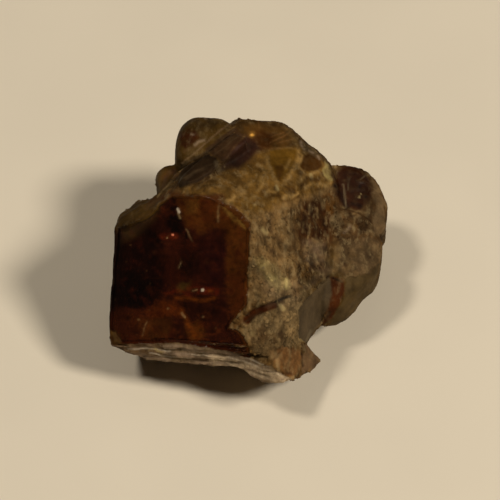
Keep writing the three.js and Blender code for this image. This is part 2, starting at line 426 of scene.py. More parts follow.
# Bands, smoke and chips of the glassy face, and its flashes, which are painted glints with painted orange
# halos.
GLASS_MARKS = (
    cloud(Tone.GARNET, 1.1, 0.6, (165, 240), (200, 240), (205, 285), (190, 295), (165, 290), (160, 262)),
    plate(Tone.SMOKE, 0.45, 0.9, (116, 232), (150, 228), (162, 240), (167, 262), (162, 285), (154, 303),
        (138, 309), (112, 307), (112, 285), (114, 250), clear=0.92),
    plate(Tone.INK, 0.5, 0.8, (126, 270), (148, 272), (156, 288), (149, 305), (138, 309), (122, 305),
        (120, 288)),
    cloud(Tone.PLUM, 1.1, 0.8, (200, 240), (214, 231), (228, 245), (228, 280), (220, 292), (206, 288),
        (199, 268), clear=0.9),
    cloud(Tone.INK, 0.66, 0.7, (181, 251), (200, 249), (202, 270), (191, 277), (178, 270)),
    cloud(Tone.HONEY_DARK, 0.66, 1, (229, 212), (250, 221), (249, 262), (247, 300), (240, 314), (233, 318),
        (228, 300), (226, 258), (226, 232), clear=0.45),
    cloud(Tone.RUSSET, 0.88, 0.6, (228, 275), (248, 270), (246, 305), (238, 315), (230, 318)),
    cloud(Tone.HONEY_DARK, 0.66, 1, (176, 196), (220, 196), (234, 207), (248, 220), (232, 229), (215, 228),
        (198, 233), (187, 226), (178, 210), clear=0.4),
    cloud(Tone.HONEY, 0.44, 0.55, (182, 197), (197, 197), (199, 210), (188, 214)),
    cloud(Tone.RUSSET, 0.66, 0.6, (198, 204), (214, 202), (218, 222), (204, 226)),
    cloud(Tone.TAN_GOLD, 0.5, 0.8, (221, 202), (234, 206), (250, 219), (247, 230), (234, 221), (226, 212),
        clear=0.2),
    vein(Tone.BUFF, 1.6, 0.2, 0.5, (221, 190), (219, 205), (218, 221)),
    plate(Tone.MAROON, 0.33, 1, (160, 197), (168, 194), (173, 199), (181, 222), (184, 236), (174, 240),
        (160, 234), (152, 224), (156, 212)),
    plate(Tone.INK, 0.55, 0.9, (168, 208), (175, 204), (184, 234), (176, 239), (167, 228)),
    vein(Tone.INK, 1.6, 0.2, 1, (173, 198), (177, 208), (181, 222), (187, 238)),
    # Painted glints: a white sparkle in the dark crack and pale flecks below it.
    streak(Tone.CHALK, 2.4, 0.15, 1, (178, 209), (179, 212), clear=0, rough=0.5),
    vein(Tone.BUFF, 2, 0.2, 0.7, (178, 213), (180, 218), clear=0, rough=0.5),
    vein(Tone.BUFF, 1.1, 0.15, 0.5, (186, 229), (188, 233), (189, 236), (192, 241), clear=0, rough=0.5),
    # Painted glints, with a painted orange halo around them.
    vein(Tone.EMBER, 6, 0.4, 0.6, (163, 236), (175, 236)),
    streak(Tone.GLINT_ORANGE, 2.6, 0.12, 1, (172.5, 234.5), clear=0, rough=0.5),
    streak(Tone.BUFF, 1.8, 0.14, 0.8, (167, 238), clear=0, rough=0.5),
    # A small painted glint.
    vein(Tone.BUFF, 1.8, 0.15, 0.5, (181, 262), (180, 265), (179, 268), clear=0, rough=0.5),
    cloud(Tone.OLIVE, 0.33, 0.8, (176, 283), (190, 281), (192, 291), (178, 293)),
    # A painted glint with its painted orange halo, and smaller painted glints beside it.
    vein(Tone.EMBER, 7, 0.5, 0.55, (190, 289), (215, 291)),
    streak(Tone.CHALK, 3, 0.15, 1, (203, 290), clear=0, rough=0.5),
    streak(Tone.BUFF, 2, 0.15, 0.7, (193, 291), (197, 290), clear=0, rough=0.5),
    vein(Tone.AMBER, 2.2, 0.24, 0.8, (209, 291), (212, 292)),
    vein(Tone.AMBER, 3.4, 0.3, 0.75, (176, 299), (190, 299), (200, 301), (214, 299), clear=0.2),
    vein(Tone.EMBER, 3, 0.4, 0.5, (166, 294), (178, 290), (190, 296)),
    cloud(Tone.RUSSET, 0.66, 1, (111, 307), (135, 309), (150, 309), (158, 318), (150, 342), (122, 343),
        (111, 333)),
    cloud(Tone.AMBER_DARK, 0.55, 0.9, (146, 311), (160, 303), (180, 303), (187, 310), (176, 318),
        (158, 317), clear=0.3),
    cloud(Tone.HONEY_DARK, 0.88, 0.75, (140, 320), (172, 318), (174, 338), (140, 340)),
    cloud(Tone.MAROON, 0.55, 0.85, (171, 316), (180, 318), (184, 332), (186, 342), (168, 342), (172, 330)),
    cloud(Tone.HONEY_DARK, 0.55, 0.9, (187, 325), (200, 320), (206, 335), (198, 343), (187, 340),
        clear=0.3),
    vein(Tone.AMBER, 4.5, 0.4, 0.75, (181, 311), (185, 318), (190, 328), (195, 335), clear=0.2),
    # A small painted glint.
    streak(Tone.BUFF, 2, 0.12, 0.7, (182, 313), (185, 317)),
    cloud(Tone.MAROON, 0.77, 0.8, (206, 312), (228, 310), (232, 330), (228, 346), (211, 344), (207, 328)),
    vein(Tone.AMBER_DARK, 2.4, 0.3, 0.8, (150, 317), (166, 316)),
    # Small painted glints: a faint pale line and pale dots.
    vein(Tone.BUFF, 0.9, 0.12, 0.4, (142, 336), (144, 329), (147, 322)),
    streak(Tone.BUFF, 1.8, 0.14, 0.5, (168, 308)),
    streak(Tone.BUFF, 1.8, 0.14, 0.5, (203, 317)),
    streak(Tone.BUFF, 2, 0.12, 0.6, (139, 320)),
    streak(Tone.BUFF, 1.6, 0.1, 0.4, (115, 299)),
    cloud(Tone.TAN_GOLD, 0.3, 0.9, (104, 330), (111, 331), (120, 338), (126, 348), (106, 350), clear=0,
        rough=0.6),
    streak(Tone.BUFF, 1.8, 0.1, 0.5, (129, 230), (131, 229)),
    cloud(Tone.MAROON, 0.22, 1, (230, 328), (237, 330), (246, 338), (250, 350), (249, 358), (240, 356),
        (232, 345), (227, 334)),
    plate(Tone.OLIVE_DARK, 1, 0.8, (116, 224), (133, 220), (147, 214), (160, 204), (154, 220), (134, 236),
        (117, 244), rough=0.3),
)

# The left corner, the knob, the shoulder crystal and the dark blade.
TOP_MARKS = (
    cloud(Tone.OLIVE, 0.4, 1, (110, 228), (113, 206), (128, 192), (146, 186), (158, 188), (164, 196),
        (157, 208), (147, 217), (133, 223), rough=0.7, grain=0.05),
    vein(Tone.OLIVE_DARK, 5, 0.4, 0.6, (121, 221), (130, 209), (142, 200)),
    vein(Tone.HONEY_DARK, 5, 0.3, 0.6, (150, 203), (158, 198)),
    vein(Tone.BROWN, 4, 0.25, 0.7, (146, 208), (160, 199)),
    cloud(Tone.OLIVE, 0.15, 1, (150, 196), (152, 176), (162, 166), (174, 156), (182, 172), (172, 181),
        (160, 198), rough=0.7, grain=0.1),
    vein(Tone.HONEY, 9, 0.5, 0.7, (164, 178), (171, 171)),
    vein(Tone.HONEY_DARK, 4, 0.3, 0.6, (163, 188), (166, 176), (174, 170), (176, 176), clear=0.3),
    cloud(Tone.TAN, 0.12, 1, (160, 198), (172, 186), (178, 183), (183, 190), (178, 196), (168, 195),
        rough=0.75, grain=0.4),
    vein(Tone.BUFF, 1.5, 0.1, 0.8, (157, 197), (165, 188), (172, 181)),
    cloud(Tone.OLIVE, 0.2, 1, (176, 166), (172, 150), (175, 134), (187, 121), (207, 112), (222, 115),
        (234, 121), (222, 130), (207, 143), (190, 157), (180, 165), rough=0.7, grain=0.25),
    cloud(Tone.RUST, 0.35, 0.9, (179, 148), (180, 134), (190, 127), (197, 132), (198, 140), (188, 150)),
    cloud(Tone.UMBER_DARK, 0.3, 0.5, (196, 122), (212, 118), (222, 122), (206, 132), (196, 131)),
    # A painted highlight on the lobe.
    streak(Tone.CHALK_BROWN, 2, 0.15, 0.8, (191, 134), (193, 135)),
    vein(Tone.CHALK_BROWN, 1.4, 0.12, 0.6, (203, 117), (206, 119)),
    vein(Tone.BROWN, 2.2, 0.2, 0.7, (184, 152), (192, 147), (202, 146)),
    # A painted highlight on the lobe.
    streak(Tone.CHALK_BROWN, 2.4, 0.2, 0.75, (195, 145), (198, 142), (204, 140)),
    plate(Tone.UMBER, 0.2, 1, (205, 150), (222, 136), (236, 127), (244, 134), (232, 150), (224, 162),
        (216, 156), rough=0.7, grain=0.1),
    plate(Tone.PEWTER, 0.12, 1, (178, 188), (178, 175), (184, 167), (196, 160), (208, 154), (216, 158),
        (219, 166), (212, 174), (198, 182), (187, 188), rough=0.6, grain=0.05),
    plate(Tone.SLATE_DARK, 0.2, 0.8, (182, 184), (182, 175), (192, 168), (208, 162), (213, 167), (206, 174),
        (194, 180), (186, 185)),
    vein(Tone.GREY_BROWN, 3, 0.2, 0.5, (186, 178), (196, 171), (207, 168)),
    vein(Tone.GREY_BROWN, 1, 0.12, 0.5, (184, 178), (198, 170), (214, 163)),
    vein(Tone.GREY_BROWN, 1, 0.12, 0.5, (188, 183), (202, 176), (216, 170)),
    vein(Tone.GREY_BROWN, 1, 0.12, 0.5, (206, 152), (222, 140), (234, 130)),
    vein(Tone.GREY_BROWN, 1, 0.12, 0.4, (212, 156), (226, 146), (238, 136)),
    vein(Tone.GREY_BROWN, 2.4, 0.15, 0.8, (180, 168), (188, 162), (198, 157), (209, 152)),
    vein(Tone.ASH, 4.5, 0.2, 0.75, (217, 162), (219, 170), (224, 172), grain=0.5),
    vein(Tone.ASH, 1.8, 0.12, 0.7, (188, 188), (200, 184), (213, 178), (225, 171), grain=0.5),
    vein(Tone.ROSE, 1.5, 0.12, 0.85, (234, 121), (222, 129), (207, 142), (192, 155), (182, 163)),
    vein(Tone.ROSE, 1.3, 0.12, 0.5, (238, 121), (240, 130)),
    cloud(Tone.OLIVE_DARK, 0.3, 1, (236, 119), (262, 120), (290, 123), (302, 138), (322, 152), (338, 176),
        (330, 184), (316, 168), (296, 150), (270, 140), (244, 134), (232, 126), rough=0.7, grain=0.3),
    plate(Tone.TAN_GOLD, 0.5, 1, (240, 160), (262, 152), (296, 146), (318, 158), (332, 172), (334, 186),
        (302, 202), (262, 214), (250, 221), (236, 208), (222, 196), (184, 195), (181, 189), (206, 181),
        (226, 170), rough=0.7, grain=0.62),
    plate(Tone.PLUM_BROWN, 0.7, 1, (222, 168), (230, 150), (238, 140), (246, 135), (257, 137), (260, 150),
        (250, 161), (238, 169), rough=0.6, grain=0.05, clear=0.15),
    plate(Tone.OLIVE_AMBER, 0.5, 1, (243, 125), (262, 123), (284, 126), (294, 137), (286, 149), (264, 153),
        (257, 142), (247, 134), rough=0.5, grain=0.15),
    plate(Tone.RUST, 0.6, 0.6, (252, 131), (264, 130), (274, 136), (270, 148), (260, 150), (254, 141)),
    # A painted golden glint with its painted halo.
    vein(Tone.GLOW, 4.5, 0.5, 0.22, (252, 135)),
    streak(Tone.GLOW, 1.8, 0.14, 0.95, (251, 135), (253, 135)),
    vein(Tone.ORANGE_TAN, 1.3, 0.12, 0.7, (270, 143), (280, 138), (291, 131)),
    vein(Tone.ORANGE_TAN, 1, 0.12, 0.6, (272, 137), (282, 133), (290, 127)),
    vein(Tone.ORANGE_TAN, 1, 0.12, 0.5, (276, 144), (284, 141), (292, 139)),
    vein(Tone.ORANGE_TAN, 1, 0.12, 0.5, (258, 146), (270, 149), (280, 148)),
    cloud(Tone.OCHRE_DARK, 0.8, 0.45, (246, 166), (258, 158), (266, 164), (258, 172)),
    vein(Tone.CREST, 1.4, 0.3, 0.35, (268, 151), (278, 149), (292, 148)),
    vein(Tone.CREST, 3.24, 0.6, 0.35, (285, 127), (292, 135), (297, 144)),
    vein(Tone.ORANGE_TAN, 1, 0.15, 0.5, (259, 120), (259, 128)),
    plate(Tone.OCHRE, 0.2, 1, (270, 151), (286, 148), (297, 150), (294, 164), (287, 173), (281, 182),
        (275, 176), (270, 163), rough=0.5, grain=0.05),
    plate(Tone.OCHRE_DARK, 0.4, 0.8, (274, 166), (283, 164), (284, 174), (280, 182), (276, 177)),
    vein(Tone.CREST, 3, 0.4, 0.65, (299, 149), (298, 159), (293, 168), (289, 177), (283, 185), lift=0.05),
    vein(Tone.CREST, 2.6, 0.4, 0.65, (266, 160), (270, 168), (274, 178), (279, 186), lift=0.05),
    vein(Tone.CREST, 2.7, 0.5, 0.74, (262, 166), (266, 173), (261, 181)),
    plate(Tone.OCHRE_DARK, 0.25, 1, (300, 157), (312, 153), (321, 158), (322, 167), (316, 172), (307, 172),
        (299, 168), rough=0.5, grain=0.1),
    vein(Tone.CREST, 2.43, 0.3, 0.90, (302, 155), (298, 167), (303, 174), (310, 176), (316, 172),
        lift=0.06),
    # A painted highlight.
    vein(Tone.CREAM, 3, 0.15, 0.8, (310, 175), (311, 177)),
    vein(Tone.OCHRE_DARK, 4, 0.3, 0.7, (299, 172), (306, 178), (318, 180), (322, 174)),
    plate(Tone.ASH, 0.2, 0.35, (300, 140), (307, 143), (315, 149), (321, 156), (317, 159), (306, 152),
        (300, 146), grain=0.8),
    streak(Tone.CHALK_BROWN, 2.6, 0.2, 0.8, (301, 142), (302, 146)),
    streak(Tone.CHALK_BROWN, 2.2, 0.15, 0.8, (304, 149)),
    streak(Tone.CHALK_BROWN, 1.8, 0.15, 0.8, (309, 151), (313, 153)),
    streak(Tone.CHALK_BROWN, 1.6, 0.15, 0.7, (317, 156), (319, 159)),
    vein(Tone.UMBER_DARK, 1.5, 0.15, 0.7, (306, 142), (316, 148), (323, 157)),
    cloud(Tone.STRAW, 0.3, 0.55, (324, 161), (330, 168), (333, 178), (328, 182), (323, 172)),
    vein(Tone.OCHRE_DARK, 3, 0.4, 0.6, (229, 211), (236, 204), lift=-0.05),
    vein(Tone.OCHRE_DARK, 3, 0.4, 0.6, (246, 208), (254, 203), (258, 199), lift=-0.05),
    vein(Tone.OCHRE_DARK, 3, 0.4, 0.6, (262, 193), (267, 187), lift=-0.05),
    vein(Tone.OCHRE_DARK, 3, 0.4, 0.7, (279, 194), (284, 202), (292, 201), (299, 197), lift=-0.06),
    vein(Tone.OCHRE_DARK, 3, 0.4, 0.6, (301, 187), (307, 182), lift=-0.05),
    vein(Tone.OCHRE_DARK, 3, 0.4, 0.6, (318, 189), (326, 190), (333, 187), lift=-0.05),
    vein(Tone.CREST, 2.4, 0.4, 0.72, (246, 186), (252, 183), lift=0.05),
    vein(Tone.CREST, 2.4, 0.4, 0.72, (236, 190), (240, 187), lift=0.05),
    vein(Tone.CREST, 2.4, 0.4, 0.60, (286, 168), (290, 160)),
    vein(Tone.CREST, 2.6, 0.4, 0.72, (306, 188), (312, 184), lift=0.05),
    vein(Tone.CREST, 6.08, 0.5, 1.00, (227, 203), (230, 207), lift=0.10),
    vein(Tone.CREST, 3.24, 0.4, 1.00, (231, 200), (234, 197)),
    vein(Tone.CREST, 3.24, 0.4, 0.90, (240, 196), (244, 193)),
    vein(Tone.CREST, 2.7, 0.4, 0.90, (244, 204), (250, 200), (254, 196)),
    vein(Tone.CREAM, 3, 0.2, 0.8, (255, 205)),
    vein(Tone.CREST, 2.7, 0.4, 0.74, (258, 190), (262, 186), (264, 181)),
    vein(Tone.CREAM, 3, 0.2, 0.8, (277, 187), (278, 190), lift=0.10),
    vein(Tone.CREST, 3.24, 0.3, 1.00, (283, 198), (288, 195), (292, 197), (297, 193), lift=0.12),
    vein(Tone.CREST, 2.7, 0.4, 0.90, (298, 182), (303, 178)),
    vein(Tone.CREST, 2.7, 0.4, 0.90, (319, 184), (325, 186), (330, 183)),
    vein(Tone.CREST, 2.16, 0.4, 0.74, (266, 194), (270, 190), (275, 192)),
    vein(Tone.CREST, 2.43, 0.4, 0.74, (234, 210), (244, 213), (252, 209)),
    cloud(Tone.OCHRE_DARK, 0.4, 0.8, (285, 187), (294, 184), (296, 192), (288, 193)),
    vein(Tone.OCHRE_DARK, 4, 0.4, 0.6, (268, 197), (278, 196)),
    vein(Tone.OCHRE_DARK, 4, 0.4, 0.5, (236, 200), (240, 206)),
    cloud(Tone.OCHRE, 0.6, 0.6, (236, 204), (256, 214), (266, 208), (250, 200)),
    streak(Tone.HONEY_DARK, 6, 0.4, 0.8, (163, 198), (168, 194), (180, 196), (200, 197), (222, 197)),
    streak(Tone.OLIVE_DARK, 7, 0.5, 0.8, (117, 227), (133, 223), (147, 217), (158, 206)),
    plate(Tone.HONEY, 0.2, 0.8, (108, 332), (117, 336), (125, 346), (110, 348), grain=0.4, rough=0.7),
    cloud(Tone.UMBER, 1.4, 0.3, (194, 172), (212, 163), (238, 168), (254, 182), (242, 200), (214, 194),
        (198, 188)),
    cloud(Tone.SLATE_DARK, 0.7, 0.33, (200, 168), (218, 158), (230, 152), (236, 162), (226, 178),
        (212, 186), (196, 190), (188, 186)),
    cloud(Tone.SLATE_DARK, 0.5, 0.35, (179, 188), (183, 174), (200, 162), (216, 155), (226, 160),
        (222, 172), (210, 184), (196, 190)),
    cloud(Tone.BUFF, 1, 0.14, (150, 178), (170, 173), (183, 176), (180, 190), (158, 190)),
)

# Patches, ridges and pits of the grainy crust.
CRUST_MARKS = (
    cloud(Tone.ROSE_TAN, 0.9, 0.85, (252, 214), (292, 212), (300, 240), (298, 262), (290, 300), (250, 302),
        (250, 250), grain=0.9),
    vein(Tone.ROSE_TAN, 8, 0.5, 0.7, (276, 208), (300, 202), (318, 196), (334, 189), grain=0.5),
    cloud(Tone.GREY_TAN, 0.5, 0.8, (296, 300), (306, 284), (326, 262), (342, 250), (344, 268), (322, 286),
        (306, 304), grain=0.85),
    cloud(Tone.WARM_GREY, 0.5, 0.85, (246, 322), (262, 310), (292, 298), (302, 306), (298, 345), (262, 352),
        (244, 338), grain=0.95),
    streak(Tone.CREAM, 4, 0.3, 0.85, (263, 229), (266, 233), grain=0.3),
    streak(Tone.BUFF, 3, 0.3, 0.5, (266, 234), (267, 240)),
    cloud(Tone.STRAW, 0.6, 0.25, (254, 258), (270, 260), (286, 276), (290, 290), (278, 290), (262, 278)),
    streak(Tone.STRAW, 6, 0.5, 0.4, (263, 266)),
    streak(Tone.STRAW, 5, 0.4, 0.75, (269, 276), (274, 279), grain=0.9),
    streak(Tone.STRAW, 4.5, 0.4, 0.75, (286, 280), (287, 287), grain=0.9),
    streak(Tone.STRAW, 6, 0.5, 0.45, (278, 283)),
    *(
        streak(Tone.CHALK_BROWN if x % 2 else Tone.CREAM, size, 0.12, 0.7, (x, y), lift=0.04)
        for x, y, size in CRUMBS
    ),
    streak(Tone.CREAM, 6, 0.25, 0.85, (254, 333), grain=0.3),
    streak(Tone.CREAM, 4, 0.2, 0.85, (281, 305), (284, 309), grain=0.3),
    streak(Tone.CREAM, 5, 0.25, 0.85, (318, 246), (320, 252), grain=0.3),
    cloud(Tone.WARM_DARK, 1.1, 1, (302, 202), (318, 198), (332, 210), (333, 238), (322, 258), (306, 252),
        (297, 238), (300, 215), grain=0.75),
    vein(Tone.UMBER, 4, 0.4, 0.7, (270, 216), (271, 232)),
    vein(Tone.UMBER, 6, 0.6, 0.55, (276, 236), (282, 244), (288, 254)),
    vein(Tone.UMBER, 5, 0.6, 0.5, (284, 222), (290, 214)),
    vein(Tone.UMBER, 7, 0.7, 0.6, (294, 228), (292, 244), (298, 256)),
    vein(Tone.UMBER_DARK, 5, 0.5, 0.5, (302, 262), (296, 272), (300, 282)),
    vein(Tone.UMBER, 4, 0.5, 0.45, (258, 244), (257, 256)),
    vein(Tone.UMBER, 4, 0.5, 0.45, (272, 250), (278, 256)),
    vein(Tone.UMBER, 4, 0.5, 0.5, (258, 284), (264, 292), (276, 296)),
    vein(Tone.BUFF, 4, 0.4, 0.5, (262, 212), (268, 215), lift=0.05),
    vein(Tone.BUFF, 3, 0.4, 0.5, (280, 212), (284, 209), lift=0.05),
    vein(Tone.BUFF, 3, 0.4, 0.5, (261, 244), (264, 250), lift=0.05),
    vein(Tone.BUFF, 4, 0.4, 0.6, (282, 262), (290, 266), lift=0.05),
    vein(Tone.BUFF, 3, 0.4, 0.5, (292, 276), (297, 270), lift=0.05),
    vein(Tone.BUFF, 3, 0.4, 0.6, (306, 250), (311, 246), lift=0.05),
    vein(Tone.BUFF, 3, 0.4, 0.6, (314, 240), (322, 243), lift=0.05),
    vein(Tone.BUFF, 2, 0.15, 0.7, (310, 204), (309, 214)),
    vein(Tone.BUFF, 2, 0.15, 0.7, (317, 208), (318, 218)),
    vein(Tone.BUFF, 2, 0.15, 0.6, (304, 222), (303, 232)),
    vein(Tone.BUFF, 2, 0.15, 0.6, (310, 226), (308, 238)),
    vein(Tone.BUFF, 2, 0.15, 0.6, (325, 218), (326, 224)),
    vein(Tone.UMBER_DARK, 5, 0.5, 0.5, (304, 215), (304, 232)),
    vein(Tone.UMBER_DARK, 5, 0.5, 0.5, (312, 204), (314, 218), (318, 232)),
    cloud(Tone.HONEY, 0.3, 0.8, (320, 196), (336, 192), (338, 205), (334, 217), (325, 212)),
    cloud(Tone.GREY_PIT, 0.3, 0.8, (306, 258), (318, 255), (330, 266), (324, 276), (309, 272)),
    vein(Tone.UMBER_DARK, 4, 0.2, 0.7, (311, 264), (316, 267)),
    vein(Tone.GREY_BROWN, 6, 0.3, 0.7, (306, 288), (318, 278), (331, 270)),
    vein(Tone.UMBER_DARK, 2.6, 0.12, 1, (318, 287), (324, 281), (329, 276), lift=-0.08),
    cloud(Tone.BUFF, 0.5, 0.4, (250, 275), (258, 290), (268, 296), (250, 300)),
    cloud(Tone.BUFF, 0.5, 0.5, (285, 300), (298, 296), (302, 330), (296, 350), (284, 335)),
    cloud(Tone.BROWN, 0.4, 0.8, (250, 330), (262, 326), (274, 335), (276, 352), (262, 356), (250, 350)),
    vein(Tone.UMBER, 7, 0.3, 0.8, (281, 334), (284, 341)),
    vein(Tone.UMBER, 5, 0.3, 0.6, (262, 348), (270, 352)),
    vein(Tone.TAN, 5, 0.2, 0.9, (230, 327), (240, 324), (247, 315), lift=0.06),
    streak(Tone.INK, 3, 0.1, 1, (246, 316), (256, 311), (268, 305), (282, 299), (290, 296), lift=-0.14),
    streak(Tone.RUST, 8, 0.25, 1, (246, 321), (254, 314), (264, 309), (274, 305), lift=-0.1, grain=0.1,
        rough=0.9),
    vein(Tone.UMBER, 2, 0.1, 0.7, (236, 330), (246, 321), (262, 312), lift=-0.05),
    cloud(Tone.LEDGE_PALE, 1.2, 0.15, (262, 276), (300, 280), (303, 307), (270, 304)),
    cloud(Tone.LEDGE_PALE, 1, 0.17, (304, 242), (326, 242), (326, 262), (304, 262)),
    cloud(Tone.LEDGE_PALE, 1, 0.14, (360, 250), (376, 250), (372, 290), (360, 290)),
)

# The foot of the crust above the ledge, and the flake.
FOOT_MARKS = (
    cloud(Tone.ORANGE_TAN, 0.3, 1, (268, 352), (284, 347), (297, 348), (303, 356), (301, 368), (290, 379),
        (276, 368), grain=0.5, rough=0.75),
    vein(Tone.BUFF, 2.4, 0.2, 0.5, (276, 352), (277, 366)),
    vein(Tone.BUFF, 3, 0.2, 0.5, (290, 352), (288, 372)),
    vein(Tone.BUFF, 2, 0.12, 0.6, (283, 380), (296, 376)),
    vein(Tone.RUST, 3, 0.2, 0.7, (283, 374), (292, 374)),
    cloud(Tone.BROWN_GREY, 0.12, 1, (303, 346), (307, 343), (321, 360), (315, 369), (303, 376), grain=0.4,
        rough=0.7),
    vein(Tone.UMBER, 2, 0.12, 0.8, (302, 354), (303, 366)),
    vein(Tone.CREAM, 2.6, 0.15, 0.7, (300, 340), (306, 341)),
    # Painted light: a paler wash that lightens the shaded crevice above the ledge.
    cloud(Tone.BUFF, 0.5, 0.45, (249, 343), (276, 345), (279, 358), (256, 360)),
)

# The two tablets on the right and the grey facet.
TABLET_MARKS = (
    plate(Tone.SLATE, 0.08, 1, (330, 277), (334, 290), (328, 308), (318, 326), (307, 343), (298, 338),
        (299, 310), (306, 300), (318, 288), rough=0.65, grain=0.03),
    # Painted highlights along the grey facet's lower and right edges.
    vein(Tone.ASH, 3, 0.15, 0.7, (311, 331), (307, 340)),
    vein(Tone.GREY_BROWN, 1.6, 0.1, 0.7, (331, 279), (333, 290), (327, 308), (317, 326)),
    cloud(Tone.BROWN, 0.2, 1, (336, 192), (338, 168), (346, 160), (368, 168), (384, 188), (388, 215),
        (382, 245), (372, 240), (340, 245), (334, 232), rough=0.7, grain=0.9),
    cloud(Tone.BROWN, 0.8, 0.8, (333, 175), (341, 163), (356, 162), (372, 172), (380, 188), (376, 206),
        (362, 216), (345, 214), (333, 200), rough=0.6, grain=0.3),
    cloud(Tone.MAROON_BROWN, 0.5, 1, (335, 194), (334, 180), (340, 168), (350, 165), (361, 169), (369, 180),
        (373, 194), (366, 205), (357, 212), (346, 210), (338, 204), rough=0.4, grain=0.0, clear=0.1),
    vein(Tone.INK, 6, 0.4, 0.7, (337, 186), (342, 198), (346, 207)),
    vein(Tone.INK, 4, 0.3, 0.6, (352, 204), (361, 206)),
    vein(Tone.INK, 3.4, 0.15, 0.8, (360, 186)),
    vein(Tone.INK, 3, 0.15, 0.8, (366, 197)),
    vein(Tone.ASH, 1.6, 0.12, 0.6, (343, 184), (345, 196), (346, 208)),
    vein(Tone.ASH, 1.2, 0.12, 0.5, (349, 178), (348, 190)),
    vein(Tone.ASH, 1.2, 0.12, 0.5, (360, 180), (368, 174)),
    vein(Tone.CREAM, 2.2, 0.1, 0.8, (359, 197)),
    vein(Tone.CREAM, 1.6, 0.1, 0.6, (361, 194)),
    vein(Tone.UMBER, 6, 0.3, 0.6, (346, 163), (356, 166), (366, 172)),
    cloud(Tone.RIM_GREY, 0.3, 1, (371, 176), (381, 188), (386, 210), (383, 236), (374, 232), (375, 205),
        rough=0.7, grain=0.2),
    vein(Tone.UMBER, 3, 0.2, 0.7, (356, 236), (364, 230), (374, 231), lift=-0.06),
    vein(Tone.UMBER, 3, 0.2, 0.6, (340, 222), (350, 216), (362, 221), lift=-0.06),
    cloud(Tone.RIM_GREY, 0.4, 0.8, (338, 240), (374, 236), (382, 246), (380, 262), (372, 276), (344, 276),
        (336, 262), rough=0.75, grain=0.9),
    cloud(Tone.GREY_TAN, 0.15, 1, (346, 277), (370, 274), (380, 264), (378, 286), (364, 306), (345, 326),
        (326, 330), (336, 314), (343, 298), rough=0.7, grain=0.08),
    vein(Tone.ROSE_TAN, 6, 0.3, 0.6, (338, 244), (337, 256), (336, 270)),
    vein(Tone.UMBER_DARK, 7, 0.5, 0.6, (346, 208), (352, 217)),
    vein(Tone.UMBER_DARK, 8, 0.6, 0.6, (335, 214), (340, 228)),
    vein(Tone.UMBER_DARK, 6, 0.5, 0.6, (360, 232), (366, 228), (372, 230)),
    vein(Tone.UMBER, 5, 0.5, 0.55, (360, 219), (368, 221)),
    vein(Tone.UMBER, 5, 0.6, 0.4, (341, 240), (348, 252)),
    vein(Tone.UMBER, 6, 0.6, 0.4, (366, 250), (370, 258)),
    vein(Tone.CHALK_BROWN, 2.4, 0.2, 0.6, (344, 233), (350, 226)),
    vein(Tone.BUFF, 2, 0.25, 0.5, (353, 214), (358, 211), (366, 213)),
    vein(Tone.UMBER, 4, 0.2, 0.8, (343, 262), (346, 265)),
    plate(Tone.RUST_RED, 0.2, 1, (331, 276), (344, 279), (345, 290), (339, 305), (331, 319), (322, 325),
        (327, 310), (332, 294), rough=0.8, grain=0.4),
    vein(Tone.INK, 2.4, 0.15, 0.8, (333, 278), (341, 282)),
    vein(Tone.UMBER, 3.4, 0.2, 0.8, (326, 318), (330, 312)),
)

# Layers of the broken ledge, with a painted glint, and painted light on its shaded right end.
LEDGE_MARKS = (
    cloud(Tone.BROWN, 0.6, 0.7, (118, 342), (140, 341), (168, 345), (160, 356), (130, 354)),
    cloud(Tone.HONEY, 0.3, 1, (106, 333), (116, 336), (124, 344), (112, 348)),
    vein(Tone.CHALK_BROWN, 2.4, 0.15, 0.7, (135, 348), (150, 347), (165, 350)),
    vein(Tone.CHALK, 1.3, 0.1, 0.5, (128, 349), (148, 348), (170, 351), lift=0.04),
    vein(Tone.CHALK, 1.3, 0.1, 0.5, (165, 348), (190, 350), (214, 355), lift=0.04),
    vein(Tone.CHALK, 1.2, 0.1, 0.4, (150, 353), (170, 357), (192, 358), lift=0.04),
    vein(Tone.CHALK, 1.3, 0.1, 0.5, (186, 354), (206, 356), (224, 361), (240, 368), lift=0.04),
    vein(Tone.CHALK, 1.5, 0.12, 0.6, (228, 357), (250, 364), (270, 372), (286, 378), lift=0.05),
    vein(Tone.CHALK, 1.2, 0.1, 0.5, (222, 362), (244, 370), (262, 377), lift=0.04),
    vein(Tone.CHALK, 1.2, 0.1, 0.5, (246, 358), (262, 364), (278, 370)),
    # A painted glint on the ledge.
    vein(Tone.CREAM, 2.2, 0.1, 0.9, (155, 349), (159, 351), (164, 352)),
    vein(Tone.CHALK_BROWN, 3, 0.2, 0.6, (170, 347), (195, 350), (220, 356)),
    vein(Tone.CHALK_BROWN, 2.4, 0.2, 0.6, (180, 356), (200, 357), (214, 359)),
    vein(Tone.UMBER, 1.6, 0.12, 0.6, (168, 353), (186, 354), (204, 357), (222, 361), lift=-0.05),
    vein(Tone.UMBER, 1.6, 0.12, 0.6, (190, 361), (208, 361), lift=-0.05),
    # A pale band on the ledge's right end: the ledge's pale colour together with painted light that lifts
    # its shade.
    vein(Tone.LEDGE_PALE, 10, 0.5, 0.9, (214, 358), (232, 363), (252, 370), (272, 377), (288, 381)),
    vein(Tone.UMBER, 1.4, 0.12, 0.5, (236, 364), (252, 371), (270, 377), lift=-0.04),
)


@dataclass(frozen=True)
class GrownCrystal:
    """One of the smaller crystals, by its middle in the frame and its half sizes, in mm."""

    middle: tuple[float, float, float]
    half: tuple[float, float, float]
    fade: Step = Step(1.25, 0.95)

    def cover(self, row: np.ndarray) -> np.ndarray:
        """1 on the crystal, falling to 0 just outside.

        Args:
            row: Points of the frame, in metres.

        Returns:
            Values from 0 to 1.
        """
        local = (row / MM - np.array(self.middle)) / np.array(self.half)
        return self.fade.of(np.linalg.norm(local, axis=1))


